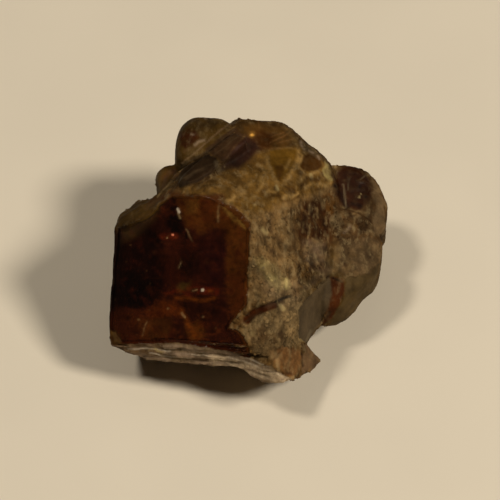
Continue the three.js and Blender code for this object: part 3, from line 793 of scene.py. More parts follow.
GROWN_CRYSTALS = (
    GrownCrystal((-4.2, 8.0, 11.5), (3.0, 3.6, 3.6)),  # shoulder
    GrownCrystal((-6.5, 4.6, 10.4), (2.0, 2.6, 2.0)),  # knob
    GrownCrystal((9.0, 5.4, 5.9), (3.4, 4.1, 3.1)),  # upper tablet
    GrownCrystal((8.1, -0.3, 5.0), (3.5, 5.0, 3.0)),  # lower tablet
)


@dataclass(frozen=True)
class Swell:
    """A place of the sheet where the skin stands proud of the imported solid, or behind it, in mm."""

    spot: Spot
    radius: float
    amount: float


SWELLS = (
    Swell((-11.1, 2.9), 0.9, 0.45),
    Swell((-9.9, 3.9), 0.9, 0.3),
    Swell((-8.0, 6.3), 0.95, 0.45),
    Swell((-5.4, 10.8), 1.5, 0.42),
    Swell((-2.4, 11.6), 1.1, 0.4),
    Swell((11.1, 5.7), 1.2, -0.35),
    Swell((10.0, -4.8), 1.2, -0.3),
    Swell((-12.1, -5.2), 1.8, 0.15),
)


class Field(Enum):
    """Names of the values that the mesh carries for its material."""

    TINT = "tint"
    CLEAR = "clear"
    ROUGH = "rough"
    GRAIN = "grain"
    LUCK = "luck"


def edge_ends(mesh: bpy.types.Mesh) -> tuple[np.ndarray, np.ndarray]:
    """The two ends of each edge.

    Args:
        mesh: The mesh.

    Returns:
        The first and the second point of every edge.
    """
    ends = np.zeros(len(mesh.edges) * 2, np.int64)
    mesh.edges.foreach_get("vertices", ends)
    one, other = ends.reshape(-1, 2).T
    return one, other


@dataclass
class Painter:
    """Lays colours and surface values over each other, point by point."""

    count: int
    border: float = 0.2
    crust_rough: float = 0.75
    tint: np.ndarray = field(init=False)
    lift: np.ndarray = field(init=False)
    values: dict[Field, np.ndarray] = field(init=False)

    def __post_init__(self) -> None:
        """Starts from plain matte crust."""
        self.tint = np.tile(np.array(Tone.SAND.linear), (self.count, 1))
        self.lift = np.zeros(self.count)
        self.values = {
            Field.CLEAR: np.zeros(self.count),
            Field.ROUGH: np.full(self.count, self.crust_rough),
            Field.GRAIN: np.ones(self.count),
        }

    def lay(self, tone: Tone, weight: np.ndarray, **levels: float | None) -> None:
        """Lays a colour over the ones before, and the surface values that go with it.

        Args:
            tone: The colour.
            weight: How much of it shows at each point.
            levels: The new rough, clear and grain values, where they change.
        """
        w = np.clip(weight, 0.0, 1.0)
        self.tint += (np.array(tone.linear) - self.tint) * w[:, None]
        for name, level in levels.items():
            if level is not None:
                self.bring(Field(name), level, w)

    def bring(self, name: Field, level: float, weight: np.ndarray) -> None:
        """Brings one surface value towards a level.

        Args:
            name: The value.
            level: The level.
            weight: How far each point goes towards it, 0 to 1.
        """
        self.values[name] += (level - self.values[name]) * weight

    def draw(self, marks: tuple[Mark, ...], surface: "Surface", allowed: np.ndarray) -> None:
        """Draws marks from the sheet.

        Args:
            marks: The marks, the lowest first.
            surface: The surface, which says where each point falls on the sheet.
            allowed: How far each point takes the marks, 0 to 1.
        """
        for mark in marks:
            places = surface.fixed_places if mark.width or mark.solid else surface.places
            weight = mark.weight(places) * allowed * (1.0 if mark.solid else surface.breakup)
            self.lay(mark.tone, weight, rough=mark.rough, clear=mark.clear, grain=mark.grain)
            self.lift += mark.lift * weight

    def write(self, mesh: bpy.types.Mesh) -> None:
        """Stores the colours and values on the mesh.

        A clear point's colour is raised by what its clearness hides, so beside a solid point it takes
        the solid one's, and the border between them doesn't turn pale.

        Args:
            mesh: The mesh.
        """
        clear = self.values[Field.CLEAR]
        colours = np.minimum(self.tint / (1.0 - clear)[:, None], 1.0)
        seen = colours.copy()
        one, other = edge_ends(mesh)
        for here, there in ((one, other), (other, one)):
            border = clear[here] - clear[there] > self.border
            np.minimum.at(seen, here[border], colours[there[border]])
        layer = mesh.attributes.new(Field.TINT.value, "FLOAT_VECTOR", "POINT")
        layer.data.foreach_set("vector", seen.astype(np.float32).ravel())
        for name, values in self.values.items():
            layer = mesh.attributes.new(name.value, "FLOAT", "POINT")
            layer.data.foreach_set("value", values.astype(np.float32))


@dataclass(frozen=True)
class Terrain:
    """Where each kind of surface begins and ends: steps in mm, or in how squarely the skin faces a way."""

    drift: tuple[Grit, Grit] = (Grit(0.9, 41, 3), Grit(0.9, 45, 3))
    loose_drift: float = 0.3
    fixed_drift: float = 0.06
    outline_drift: float = 0.08
    gaps: Grit = Grit(0.55, 51, 3)
    gaps_middle: float = 0.95
    gaps_swing: float = 0.45
    gaps_range: Spot = (0.45, 1.1)
    facing: Step = Step(0.0, 0.2)
    ahead: Step = Step(0.6, 0.8)
    blur: float = 0.05
    top_blur: Step = Step(3.8, 4.6, 0.3)
    glass: Step = Step(1.0, -1.0)
    rim: Step = Step(-0.24, -0.08)
    foot_rim: Step = Step(-0.35, -0.1)
    foot: Step = Step(-7.0, -7.6)
    depth: Grit = Grit(2.2, 81, 3)
    depth_swing: float = 1.5
    side: Step = Step(0.5, 0.8)
    side_depth: Step = Step(6.5, 3.5)
    brink: Step = Step(0.9, 0.4)
    left: Step = Step(-10.5, -11.3)
    left_top: Step = Step(2.8, 1.6)
    left_foot: Step = Step(-8.8, -8.0)
    ledge: Step = Step(0.08, -0.08)
    ledge_facing: Step = Step(-0.4, 0.0)
    sheet: Sheet = Sheet()

    def left_cover(self, row: np.ndarray) -> np.ndarray:
        """How far each point lies on the left edge of the glassy part.

        Args:
            row: Points of the frame, in metres.

        Returns:
            Values from 0 to 1.
        """
        across, up = self.sheet.places(row).T
        return self.left.of(across) * self.left_top.of(up) * self.left_foot.of(up)

    def ledge_cover(self, row: np.ndarray, normals: np.ndarray) -> np.ndarray:
        """How far each point lies on the broken ledge along the foot.

        Args:
            row: Points of the frame, in metres.
            normals: Which way the surface looks at each point.

        Returns:
            Values from 0 to 1.
        """
        outline = edge_distance(self.sheet.places(row), on_sheet(LEDGE_OUTLINE), closed=True)
        return self.ledge.of(outline) * self.ledge_facing.of(normals @ self.sheet.toward_eye())


@dataclass(frozen=True)
class Washes:
    """Colours that follow noise and place: each step's strength is how much of its colour shows."""

    broad: Grit = Grit(3.0, 21, 3)
    middling: Grit = Grit(1.1, 31, 2)
    flecks: Grit = Grit(0.7, 35, 3, (1.4, 1.0, 0.55))
    honey: Grit = Grit(4.0, 25, 2)
    buff: Step = Step(0.1, 0.9, 0.5)
    umber: Step = Step(-0.1, -0.7, 0.6)
    honey_back: Step = Step(0.1, 0.5, 0.8)
    end_face: Step = Step(11.35, 11.6)
    pale_flecks: Step = Step(0.1, 0.8, 0.5)
    dark_flecks: Step = Step(-0.25, -0.9, 0.6)
    glass_rough: float = 0.09
    glass_clear: float = 0.85
    smoothing: Step = Step(0.0, 0.5)
    clearing: Step = Step(0.5, 1.0)
    rounding: Step = Step(0.995, 0.96)
    rim_rough: float = 0.25
    smoke: Step = Step(-5.6, -4.6, 0.8)
    least_smoke: float = 0.2
    # Painted light on the shaded foot of the glassy face's rim.
    foot_light: Step = Step(-7.0, -7.6, 0.6)
    ink_left: Step = Step(-10.4, -11.0, 0.8)
    ink_above_foot: Step = Step(-7.4, -6.8)
    brink_above_foot: Step = Step(-7.4, -6.2, 0.7)
    brink_below_top: Step = Step(1.8, 0.8)
    olive_top: Step = Step(1.8, 2.4, 0.8)
    honey_top: Step = Step(1.8, 3.2, 0.9)
    left_half: Step = Step(-6.5, -8.0)
    right_half: Step = Step(-8.0, -6.5)
    honey_right: Step = Step(-2.0, -1.0, 0.9)


@dataclass(frozen=True)
class Veils:
    """Thin cloudy films inside the clear part, and dust on it."""

    films: Grit = Grit(1.6, 61, 3, (1.0, 1.0, 1.7))
    film: Step = Step(0.16, 0.0)
    least_film: float = 0.18
    low: Step = Step(-1.0, -5.0)
    high: Step = Step(2.0, 4.0)
    outer_film: float = 0.35
    calm_left: Step = Step(-9.8, -7.2)
    calm_foot: Step = Step(-4.8, -5.4)
    least_calm: float = 0.2
    fine: Grit = Grit(0.6, 65, 3)
    garnet: Step = Step(0.0, 0.8, 0.6)
    ink: Step = Step(-0.1, -0.8, 0.5)
    dust_size: float = 0.45
    dust_seed: int = 71
    dust: Step = Step(0.18, 0.08)
    dusty: Grit = Grit(0.7, 73, 2)
    dusty_places: Step = Step(0.0, 0.5)
    dust_strength: float = 0.5

    def draw(self, p: Painter, surface: "Surface") -> None:
        """Lays the films and the dust.

        Args:
            p: The painter.
            surface: The surface that they lie on.
        """
        across, up = surface.places.T
        outer = self.low.of(up) + self.high.of(up)
        calm = np.clip(self.calm_left.of(across) + self.calm_foot.of(up), self.least_calm, 1.0)
        films = self.film.of(np.abs(self.films.at(surface.upright)))
        p.lay(Tone.AMBER_DARK, films * (self.least_film + self.outer_film * outer) * calm * surface.glass)
        fine = self.fine.at(surface.upright)
        p.lay(Tone.GARNET, self.garnet.of(fine) * surface.glass)
        p.lay(Tone.INK, self.ink.of(fine) * surface.glass)
        specks, _ = cell_noise(surface.upright, self.dust_size, self.dust_seed)
        chosen = self.dusty_places.of(self.dusty.at(surface.upright))
        p.lay(Tone.TAN, self.dust.of(specks) * chosen * self.dust_strength * surface.glass)


@dataclass(frozen=True)
class Relief:
    """Small relief of the crust, its cracks and the ledge's layers, in mm, and the colours laid with it:
    painted shade in the crust's pits and painted light on its tops.
    """

    lump_size: float = 0.8
    lump_seed: int = 3
    crumb_size: float = 0.38
    crumb_seed: int = 5
    half: float = 0.5
    crack: Step = Step(0.1, 0.0)
    cracked: Grit = Grit(2.5, 13)
    cracked_places: Step = Step(0.0, 0.3)
    broad: Grit = Grit(1.9, 2, 3)
    broad_height: float = 0.13
    lump_height: float = 0.18
    crack_depth: float = 0.12
    layer_squeeze: tuple[float, float, float] = (0.35, 1.0, 2.6)
    layer_bend: Grit = Grit(1.5, 8)
    layer_swing: float = 0.3
    layers: Grit = Grit(0.75, 9, 4)
    layer_height: float = 0.12
    layer_lumps: float = 0.06
    crust_power: float = 1.3
    smooth_height: float = 0.02
    smooth: Grit = Grit(1.4, 11)
    # How much painted shade the pits take, and how much painted light the tops take.
    pit_share: float = 0.4
    pits: Step = Step(-0.05, -0.4)
    pit_shade: float = 0.45
    top_share: float = 0.5
    tops: Step = Step(0.15, 0.6)
    top_light: float = 0.35
    layer_pits: Step = Step(-0.25, -0.7)
    layer_dark: float = 0.6
    layer_tops: Step = Step(0.0, 0.5)
    layer_pale: float = 0.85

    def shape(self, painter: Painter, surface: "Surface") -> np.ndarray:
        """Works out the relief, and lays its colours with it: painted shade in the crust's pits, painted
        light on its tops, and darker and paler layers on the ledge.

        Args:
            painter: The painter, whose grain values say how rough each place is.
            surface: The surface that it lies on.

        Returns:
            How far each point moves out, in mm.
        """
        grain = painter.values[Field.GRAIN]
        q, ledge, glass = surface.upright, surface.ledge, surface.glass
        near, gap = cell_noise(q, self.lump_size, self.lump_seed)
        fine_near, _ = cell_noise(q, self.crumb_size, self.crumb_seed)
        lumps = self.half - near + self.half * (self.half - fine_near)
        cracks = self.crack.of(gap) * self.cracked_places.of(self.cracked.at(q))
        broad = self.broad.at(q)
        crust = self.broad_height * broad + self.lump_height * lumps - self.crack_depth * cracks
        bend = self.layer_swing * self.layer_bend.at(q)[:, None]
        layers = self.layers.at(q * np.array(self.layer_squeeze) + bend)
        height = grain**self.crust_power * crust * (1 - ledge)
        height = height + ledge * (self.layer_height * layers + self.layer_lumps * lumps)
        height += (1 - grain) * (1 - glass) * self.smooth_height * self.smooth.at(q)
        # Painted shade in the crust's pits and painted light on its tops, following the relief.
        pits = self.pits.of(lumps + self.pit_share * broad) * grain * (1 - ledge)
        tops = self.tops.of(lumps + self.top_share * broad) * grain * (1 - ledge)
        painter.lay(Tone.UMBER_DARK, pits * self.pit_shade)
        painter.lay(Tone.FLECK, tops * self.top_light)
        painter.lay(Tone.UMBER, self.layer_pits.of(layers) * ledge * self.layer_dark)
        painter.lay(Tone.CHALK_BROWN, self.layer_tops.of(layers) * ledge * self.layer_pale)
        return height + painter.lift


@dataclass
class Surface:
    """Places, directions and kinds of surface at every point of the skin."""

    row: np.ndarray
    normals: np.ndarray
    axes: CrystalAxes = CrystalAxes()
    sheet: Sheet = Sheet()
    terrain: Terrain = Terrain()
    washes: Washes = Washes()
    veils: Veils = Veils()
    upright: np.ndarray = field(init=False)
    ways: np.ndarray = field(init=False)
    facing: np.ndarray = field(init=False)
    places: np.ndarray = field(init=False)
    fixed_places: np.ndarray = field(init=False)
    breakup: np.ndarray = field(init=False)
    glass: np.ndarray = field(init=False)
    rim: np.ndarray = field(init=False)
    left: np.ndarray = field(init=False)
    brink: np.ndarray = field(init=False)
    ledge: np.ndarray = field(init=False)
    satin: np.ndarray = field(init=False)

    def __post_init__(self) -> None:
        """Works out what the relief and the colours both need."""
        t = self.terrain
        self.upright = self.axes.points(self.row)
        self.ways = self.axes.ways(self.normals)
        self.facing = t.facing.of(self.normals @ self.sheet.toward_eye())
        places = self.sheet.places(self.row)
        up = places[:, 1]
        drift = np.stack([grit.at(self.upright) for grit in t.drift], axis=1)
        self.places = places + t.loose_drift * drift
        self.fixed_places = places + t.fixed_drift * drift
        self.breakup = np.clip(t.gaps_middle + t.gaps_swing * t.gaps.at(self.upright), *t.gaps_range)
        outline = edge_distance(places + t.outline_drift * drift, on_sheet(GLASS_OUTLINE), closed=True)
        ahead = t.ahead.of(self.ways @ PRISM.normal())
        self.glass = t.glass.of(outline / (t.blur + t.top_blur.of(up))) * ahead
        self.rim = np.maximum(t.foot_rim.of(outline) * t.foot.of(up), t.rim.of(outline))
        side = t.side.of(self.ways @ LEFT_PRISM.normal())
        depth = PRISM.distance - self.upright @ PRISM.normal()
        behind = depth + t.depth_swing * t.depth.at(self.upright)
        self.left = np.maximum(t.left_cover(self.row), side * t.side_depth.of(behind))
        self.brink = self.left * t.brink.of(depth)
        self.ledge = t.ledge_cover(self.row, self.normals) * (1.0 - self.glass)
        self.satin = np.maximum.reduce([crystal.cover(self.row) for crystal in GROWN_CRYSTALS])

    def paint(self) -> Painter:
        """Colours every kind of surface.

        Returns:
            The painter with its colours and values.
        """
        p = Painter(len(self.row))
        self._ground(p)
        for marks in (TOP_MARKS, CRUST_MARKS, FOOT_MARKS, TABLET_MARKS):
            p.draw(marks, self, self.facing * (1.0 - self.glass))
        flecks = self.washes.flecks.at(self.upright)
        grain = p.values[Field.GRAIN]
        p.lay(Tone.FLECK, self.washes.pale_flecks.of(flecks) * grain)
        p.lay(Tone.UMBER_DARK, self.washes.dark_flecks.of(flecks) * grain)
        p.draw(GLASS_MARKS, self, self.facing * self.glass)
        self.veils.draw(p, self)
        self._glass_rim(p)
        p.draw(LEDGE_MARKS, self, self.ledge)
        return p

    def _ground(self, p: Painter) -> None:
        """Lays each kind of surface in its own colour.

        Args:
            p: The painter.
        """
        w = self.washes
        p.lay(Tone.BUFF, w.buff.of(w.broad.at(self.upright)))
        p.lay(Tone.UMBER, w.umber.of(w.middling.at(self.upright)))
        honey = w.honey_back.of(w.honey.at(self.upright))
        p.lay(Tone.HONEY_DARK, honey * (1.0 - self.facing), grain=0.6)
        p.lay(Tone.OLIVE, self.satin, rough=0.7, grain=0.3)
        p.lay(Tone.PEWTER, w.end_face.of(self.upright[:, 2]), rough=0.7, grain=0.1)
        p.lay(Tone.LEDGE_GREY, self.ledge, grain=0.65)
        p.lay(Tone.MAROON, self.left, rough=1.0, grain=0.08)
        p.lay(Tone.MAROON, self.glass, grain=0.0)
        p.bring(Field.ROUGH, w.glass_rough, w.smoothing.of(self.glass))
        p.bring(Field.CLEAR, w.glass_clear, w.clearing.of(self.glass))

    def _glass_rim(self, p: Painter) -> None:
        """Closes the glassy face with a solid, slightly rounded rim, lighter at its shaded foot as painted
        light.

        Args:
            p: The painter.
        """
        w = self.washes
        rounded = np.maximum(w.rounding.of(self.ways @ PRISM.normal()), self.rim) * self.glass
        across, up = self.places.T
        smoky = w.smoke.of(up) + w.least_smoke
        # Painted light: the rim at the foot, which lies in shade, is lifted to a lighter russet.
        p.lay(Tone.RUSSET, rounded * w.foot_light.of(up))
        p.lay(Tone.INK, rounded * w.ink_left.of(across) * w.ink_above_foot.of(up) * smoky)
        p.lay(Tone.INK, self.brink * w.brink_above_foot.of(up) * w.brink_below_top.of(up) * smoky)
        p.lay(Tone.OLIVE, rounded * w.olive_top.of(up) * w.left_half.of(across))
        p.lay(Tone.HONEY_DARK, rounded * w.honey_top.of(up) * w.right_half.of(across))
        p.lay(Tone.HONEY_DARK, rounded * w.honey_right.of(across))
        p.values[Field.ROUGH] = np.maximum(p.values[Field.ROUGH], w.rim_rough * rounded)
        p.values[Field.CLEAR] *= 1.0 - rounded


@dataclass(frozen=True)
class Speckle:
    """Shader noise, by its scale per metre, its detail and its roughness."""

    scale: float
    detail: float
    rough: float = 0.5


@dataclass(frozen=True)
class Swing:
    """A smooth step of a socket, from start where it is low to end where it is high."""

    low: float
    high: float
    start: float = 0.0
    end: float = 1.0


class Nodes:
    """Adds shader nodes to a tree and wires them as it goes."""

    def __init__(self, tree: bpy.types.NodeTree) -> None:
        """Takes over a tree and empties it.

        Args:
            tree: The tree to add to.
        """
        self.tree = tree
        tree.nodes.clear()

    def add(self, kind: str, inputs: dict[str | int, object] | None = None,
            **settings: object) -> bpy.types.Node:
        """Adds one node.

        Args:
            kind: The node's type name.
            inputs: Values or sockets for its inputs, by name, number or identifier.
            settings: Its own properties.

        Returns:
            The new node.
        """
        node = self.tree.nodes.new(kind)
        for name, value in settings.items():
            setattr(node, name, value)
        for name, value in (inputs or {}).items():
            socket = next((s for s in node.inputs if s.identifier == name), None) or node.inputs[name]
            if isinstance(value, Socket):
                self.tree.links.new(value, socket)
            else:
                socket.default_value = value
        return node

    def attribute(self, name: Field) -> Socket:
        """A value or colour that the mesh carries."""
        node = self.add("ShaderNodeAttribute", attribute_name=name.value)
        return node.outputs["Vector" if name is Field.TINT else "Fac"]

    def math(self, operation: str, *values: Socket | float) -> Socket:
        """Arithmetic on numbers or sockets."""
        return self.add("ShaderNodeMath", dict(enumerate(values)), operation=operation).outputs[0]

    def spread(self, value: Socket, swing: Swing) -> Socket:
        """Smooth step of a socket.

        Args:
            value: The socket.
            swing: Where the step lies, and what it gives.

        Returns:
            The step's result.
        """
        inputs = {
            "Value": value,
            "From Min": swing.low,
            "From Max": swing.high,
            "To Min": swing.start,
            "To Max": swing.end,
        }
        return self.add("ShaderNodeMapRange", inputs, interpolation_type="SMOOTHSTEP").outputs["Result"]

    def mix(self, factor: Socket | float, under: Socket, over: tuple[float, ...]) -> Socket:
        """One colour over another.

        Args:
            factor: How much of the upper one shows.
            under: The lower colour.
            over: The upper colour.

        Returns:
            The mixed colour.
        """
        inputs = {"Factor_Float": factor, "A_Color": under, "B_Color": over}
        node = self.add("ShaderNodeMix", inputs, data_type="RGBA")
        return next(s for s in node.outputs if s.identifier == "Result_Color")

    def scale(self, colour: Socket | Colour, factor: Socket) -> Socket:
        """A colour or vector made larger or smaller."""
        return self.add("ShaderNodeVectorMath", {0: colour, "Scale": factor}, operation="SCALE").outputs[0]

    def speckle(self, place: Socket, grain: Speckle) -> Socket:
        """Noise at each place."""
        named = {"Vector": place, "Scale": grain.scale, "Detail": grain.detail, "Roughness": grain.rough}
        return self.add("ShaderNodeTexNoise", named).outputs["Fac"]


@dataclass(frozen=True)
class StoneFinish:
    """Finish of the crystal and its crust: glassy and see-through, or matte and grainy."""

    name: str = "bastnasite"
    ior: float = 1.72
    gloss: float = 0.03
    inside: Colour = (0.62, 0.16, 0.04)
    density: float = 200.0
    stretch: tuple[float, float, float] = (1.5, 0.85, 0.85)
    mottle: Speckle = Speckle(900.0, 8.0, 0.72)
    crumbs: Speckle = Speckle(2300.0, 5.0, 0.7)
    clouds: Speckle = Speckle(420.0, 7.0, 0.68)
    flecks: Speckle = Speckle(1400.0, 4.0, 0.65)
    mottle_shade: Swing = Swing(0.3, 0.7, 0.5, 1.3)
    cloud_shade: Swing = Swing(0.3, 0.7, 0.55, 1.4)
    pale: Swing = Swing(0.52, 0.7)
    pale_share: float = 0.6
    # Painted shade in the low parts of the fine bump.
    dark: Swing = Swing(0.42, 0.32)
    hollow_shade_share: float = 0.45
    crumb_height: float = 0.6
    mottle_height: float = 0.9
    least_bump: float = 0.015
    bump_depth: float = 0.16 * MM

    def material(self) -> bpy.types.Material:
        """Builds the material.

        Returns:
            The new material.
        """
        made = bpy.data.materials.new(self.name)
        made.use_nodes = True
        n = Nodes(made.node_tree)
        place = n.add("ShaderNodeTexCoord").outputs["Object"]
        grain = n.attribute(Field.GRAIN)
        drawn = n.add("ShaderNodeMapping", {"Vector": place, "Scale": self.stretch}).outputs[0]
        mottle = n.speckle(drawn, self.mottle)
        crumbs = n.speckle(drawn, self.crumbs)
        # The tone follows the mottle, which also raises the bump: random tone, and painted light on the
        # bump's high parts.
        shade = n.spread(mottle, self.mottle_shade)
        grainy = n.math("MULTIPLY_ADD", n.math("SUBTRACT", shade, 1.0), grain, 1.0)
        cloudy = n.spread(n.speckle(place, self.clouds), self.cloud_shade)
        tone = n.scale(n.scale(n.attribute(Field.TINT), grainy), cloudy)
        flecks = n.spread(n.speckle(drawn, self.flecks), self.pale)
        pale = n.math("MULTIPLY", flecks, n.math("MULTIPLY", grain, self.pale_share))
        # Painted shade: the crust darkens where the crumbs, and with them the bump, are low.
        pits = n.spread(crumbs, self.dark)
        dark = n.math("MULTIPLY", pits, n.math("MULTIPLY", grain, self.hollow_shade_share))
        tone = n.mix(pale, tone, (*Tone.FLECK.linear, 1))
        tone = n.mix(dark, tone, (*Tone.UMBER_DARK.linear, 1))
        low = n.math("MULTIPLY", crumbs, self.crumb_height)
        height = n.math("ADD", low, n.math("MULTIPLY", mottle, self.mottle_height))
        relief = n.math("MULTIPLY", height, n.math("ADD", grain, self.least_bump))
        bump = n.add("ShaderNodeBump", {"Strength": 1.0, "Distance": self.bump_depth, "Height": relief})
        body = n.add("ShaderNodeBsdfPrincipled", {
            "Base Color": tone,
            "Roughness": n.attribute(Field.ROUGH),
            "Transmission Weight": n.attribute(Field.CLEAR),
            "IOR": self.ior,
            "Specular IOR Level": self.gloss,
            "Normal": bump.outputs["Normal"],
        })
        volume = n.add("ShaderNodeVolumeAbsorption", {"Color": (*self.inside, 1), "Density": self.density})
        n.add("ShaderNodeOutputMaterial", {"Surface": body.outputs[0], "Volume": volume.outputs[0]})
        return made


@dataclass
class Skin:
    """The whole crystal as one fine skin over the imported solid."""

    finish: StoneFinish = StoneFinish()
    relief: Relief = Relief()
    terrain: Terrain = Terrain()
    weld: float = 0.002 * MM
    voxel: float = 0.125 * MM
    hidden: Step = Step(0.0, -0.3)
    hidden_levels: int = 5
    hidden_factor: float = 4.0
    kept_share: float = 0.62
    flat_depth: float = 0.08
    flat_facing: float = 0.97
    edge_facing: Step = Step(0.4, 0.6)
    edge_depth: float = 1.0
    edge_side: Step = Step(8.5, 8.8)
    edge_top: Step = Step(2.4, 1.8)
    soft_rounds: int = 14
    soft_share: float = 0.6
    name: str = "bastnasite_skin"

    def build(self) -> bpy.types.Object:
        """Makes the skin, shapes it and paints it.

        Returns:
            The finished piece.
        """
        mesh = self._fine_copy()
        row, normals = self._geometry(mesh)
        row = self._flatten(row, normals)
        row = self._sharpen(row, normals)
        row = self._soften(mesh, row, self.terrain.ledge_cover(row, normals))
        row = row + normals * (self._swell(row) * MM)[:, None]
        mesh.vertices.foreach_set("co", row.astype(np.float32).ravel())
        mesh.update()
        _, normals = self._geometry(mesh)
        surface = Surface(row, normals)
        painter = surface.paint()
        row = row + normals * (self.relief.shape(painter, surface) * MM)[:, None]
        row[:, 2] = np.maximum(row[:, 2], 0.0)
        mesh.vertices.foreach_set("co", row.astype(np.float32).ravel())
        mesh.polygons.foreach_set("use_smooth", np.ones(len(mesh.polygons), bool))
        mesh.update()
        painter.write(mesh)
        mesh.materials.append(self.finish.material())
        piece = bpy.data.objects.new(self.name, mesh)
        bpy.context.scene.collection.objects.link(piece)
        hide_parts(NODE)
        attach(piece, "root")
        return piece

    def _fine_copy(self) -> bpy.types.Mesh:
        """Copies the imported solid, merges it and lays a fine mesh over it, coarser where it is hidden.

        Returns:
            The fine mesh.
        """
        draft = bpy.data.objects.new("draft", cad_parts[NODE].data.copy())
        bpy.context.scene.collection.objects.link(draft)
        draft.data.materials.clear()
        weld = draft.modifiers.new("weld", "WELD")
        weld.merge_threshold = self.weld
        remesh = draft.modifiers.new("remesh", "REMESH")
        remesh.mode = "VOXEL"
        remesh.voxel_size = self.voxel
        draft.data = self._applied(draft)
        _, normals = self._geometry(draft.data)
        hidden = self.hidden.of(normals @ Sheet().toward_eye())
        group = draft.vertex_groups.new(name="hidden")
        for level in range(1, self.hidden_levels + 1):
            chosen = np.flatnonzero(np.round(hidden * self.hidden_levels) == level)
            group.add(chosen.tolist(), level / self.hidden_levels, "REPLACE")
        thin = draft.modifiers.new("thin", "DECIMATE")
        thin.ratio = self.kept_share
        thin.vertex_group = "hidden"
        thin.vertex_group_factor = self.hidden_factor
        mesh = self._applied(draft)
        bpy.data.objects.remove(draft)
        mesh.name = self.name
        return mesh

    @staticmethod
    def _applied(draft: bpy.types.Object) -> bpy.types.Mesh:
        """Applies the object's modifiers and removes them.

        Args:
            draft: The object.

        Returns:
            The resulting mesh.
        """
        mesh = bpy.data.meshes.new_from_object(draft.evaluated_get(bpy.context.evaluated_depsgraph_get()))
        draft.modifiers.clear()
        return mesh

    @staticmethod
    def _geometry(mesh: bpy.types.Mesh) -> tuple[np.ndarray, np.ndarray]:
        """Reads a mesh's points.

        Args:
            mesh: The mesh.

        Returns:
            The points, and which way the surface looks at each.
        """
        row = np.zeros(len(mesh.vertices) * 3)
        mesh.vertices.foreach_get("co", row)
        normals = np.zeros(len(mesh.vertices) * 3, np.float32)
        mesh.vertex_normals.foreach_get("vector", normals)
        return row.reshape(-1, 3), normals.astype(float).reshape(-1, 3)

    def _flatten(self, row: np.ndarray, normals: np.ndarray) -> np.ndarray:
        """Moves the points that lie close to a flat face exactly onto it.

        Args:
            row: The points.
            normals: Which way the surface looks at each.

        Returns:
            The moved points.
        """
        axes = CrystalAxes()
        ways = axes.ways(normals)
        for face in (PRISM, LEFT_PRISM, GREY_FACET):
            off = axes.points(row) @ face.normal() - face.distance
            near = (np.abs(off) < self.flat_depth) & (ways @ face.normal() > self.flat_facing)
            row = row - (near * off)[:, None] * (axes.rotation() @ face.normal()) * MM
        return row

    def _sharpen(self, row: np.ndarray, normals: np.ndarray) -> np.ndarray:
        """Brings the worn edge between the two upright faces forward, so the glassy face ends crisply.

        Args:
            row: The points.
            normals: Which way the surface looks at each.

        Returns:
            The moved points.
        """
        axes = CrystalAxes()
        points = axes.points(row)
        off = points @ PRISM.normal() - PRISM.distance
        ahead = self.edge_facing.of(axes.ways(normals) @ PRISM.normal())
        near = ahead * (np.abs(off) < self.edge_depth)
        near *= self.edge_side.of(points @ LEFT_PRISM.normal()) * self.edge_top.of(Sheet().places(row)[:, 1])
        return row - (near * off)[:, None] * (axes.rotation() @ PRISM.normal()) * MM

    @staticmethod
    def _swell(row: np.ndarray) -> np.ndarray:
        """Works out how far the swells move the points.

        Args:
            row: The points.

        Returns:
            How far each point moves out, in mm.
        """
        places = Sheet().places(row)
        total = np.zeros(len(row))
        for swell in SWELLS:
            away = np.linalg.norm(places - np.array(swell.spot), axis=1) / swell.radius
            total += swell.amount * np.exp(-away * away)
        return total

    def _soften(self, mesh: bpy.types.Mesh, row: np.ndarray, weight: np.ndarray) -> np.ndarray:
        """Evens out the points towards their neighbours, round after round.

        Args:
            mesh: The mesh, for its edges.
            row: The points.
            weight: How much each point takes part, 0 to 1.

        Returns:
            The evened points.
        """
        one, other = edge_ends(mesh)
        count = np.bincount(np.concatenate((one, other)), minlength=len(row)).astype(float)
        for _ in range(self.soft_rounds):
            total = np.zeros_like(row)
            np.add.at(total, one, row[other])
            np.add.at(total, other, row[one])
            row = row + (total / count[:, None] - row) * (self.soft_share * weight)[:, None]
        return row


@dataclass(frozen=True)
class GrainFinish:
    """Finish of the coarse grains: the crust's own colour, some darker and some nearly white."""

    name: str = "crust_grain"
    roughness: float = 0.7
    gloss: float = 0.03
    shade: Swing = Swing(0.0, 0.9, 0.65, 1.1)
    pale: Swing = Swing(0.8, 1.0, 0.0, 0.2)

    def material(self) -> bpy.types.Material:
        """Builds the material.

        Returns:
            The new material.
        """
        made = bpy.data.materials.new(self.name)
        made.use_nodes = True
        n = Nodes(made.node_tree)
        luck = n.attribute(Field.LUCK)
        tone = n.scale(n.attribute(Field.TINT), n.spread(luck, self.shade))
        tone = n.mix(n.spread(luck, self.pale), tone, (*Tone.FLECK.linear, 1))
        body = n.add("ShaderNodeBsdfPrincipled", {
            "Base Color": tone,
            "Roughness": self.roughness,
            "Specular IOR Level": self.gloss,
        })
        n.add("ShaderNodeOutputMaterial", {"Surface": body.outputs[0]})
        return made


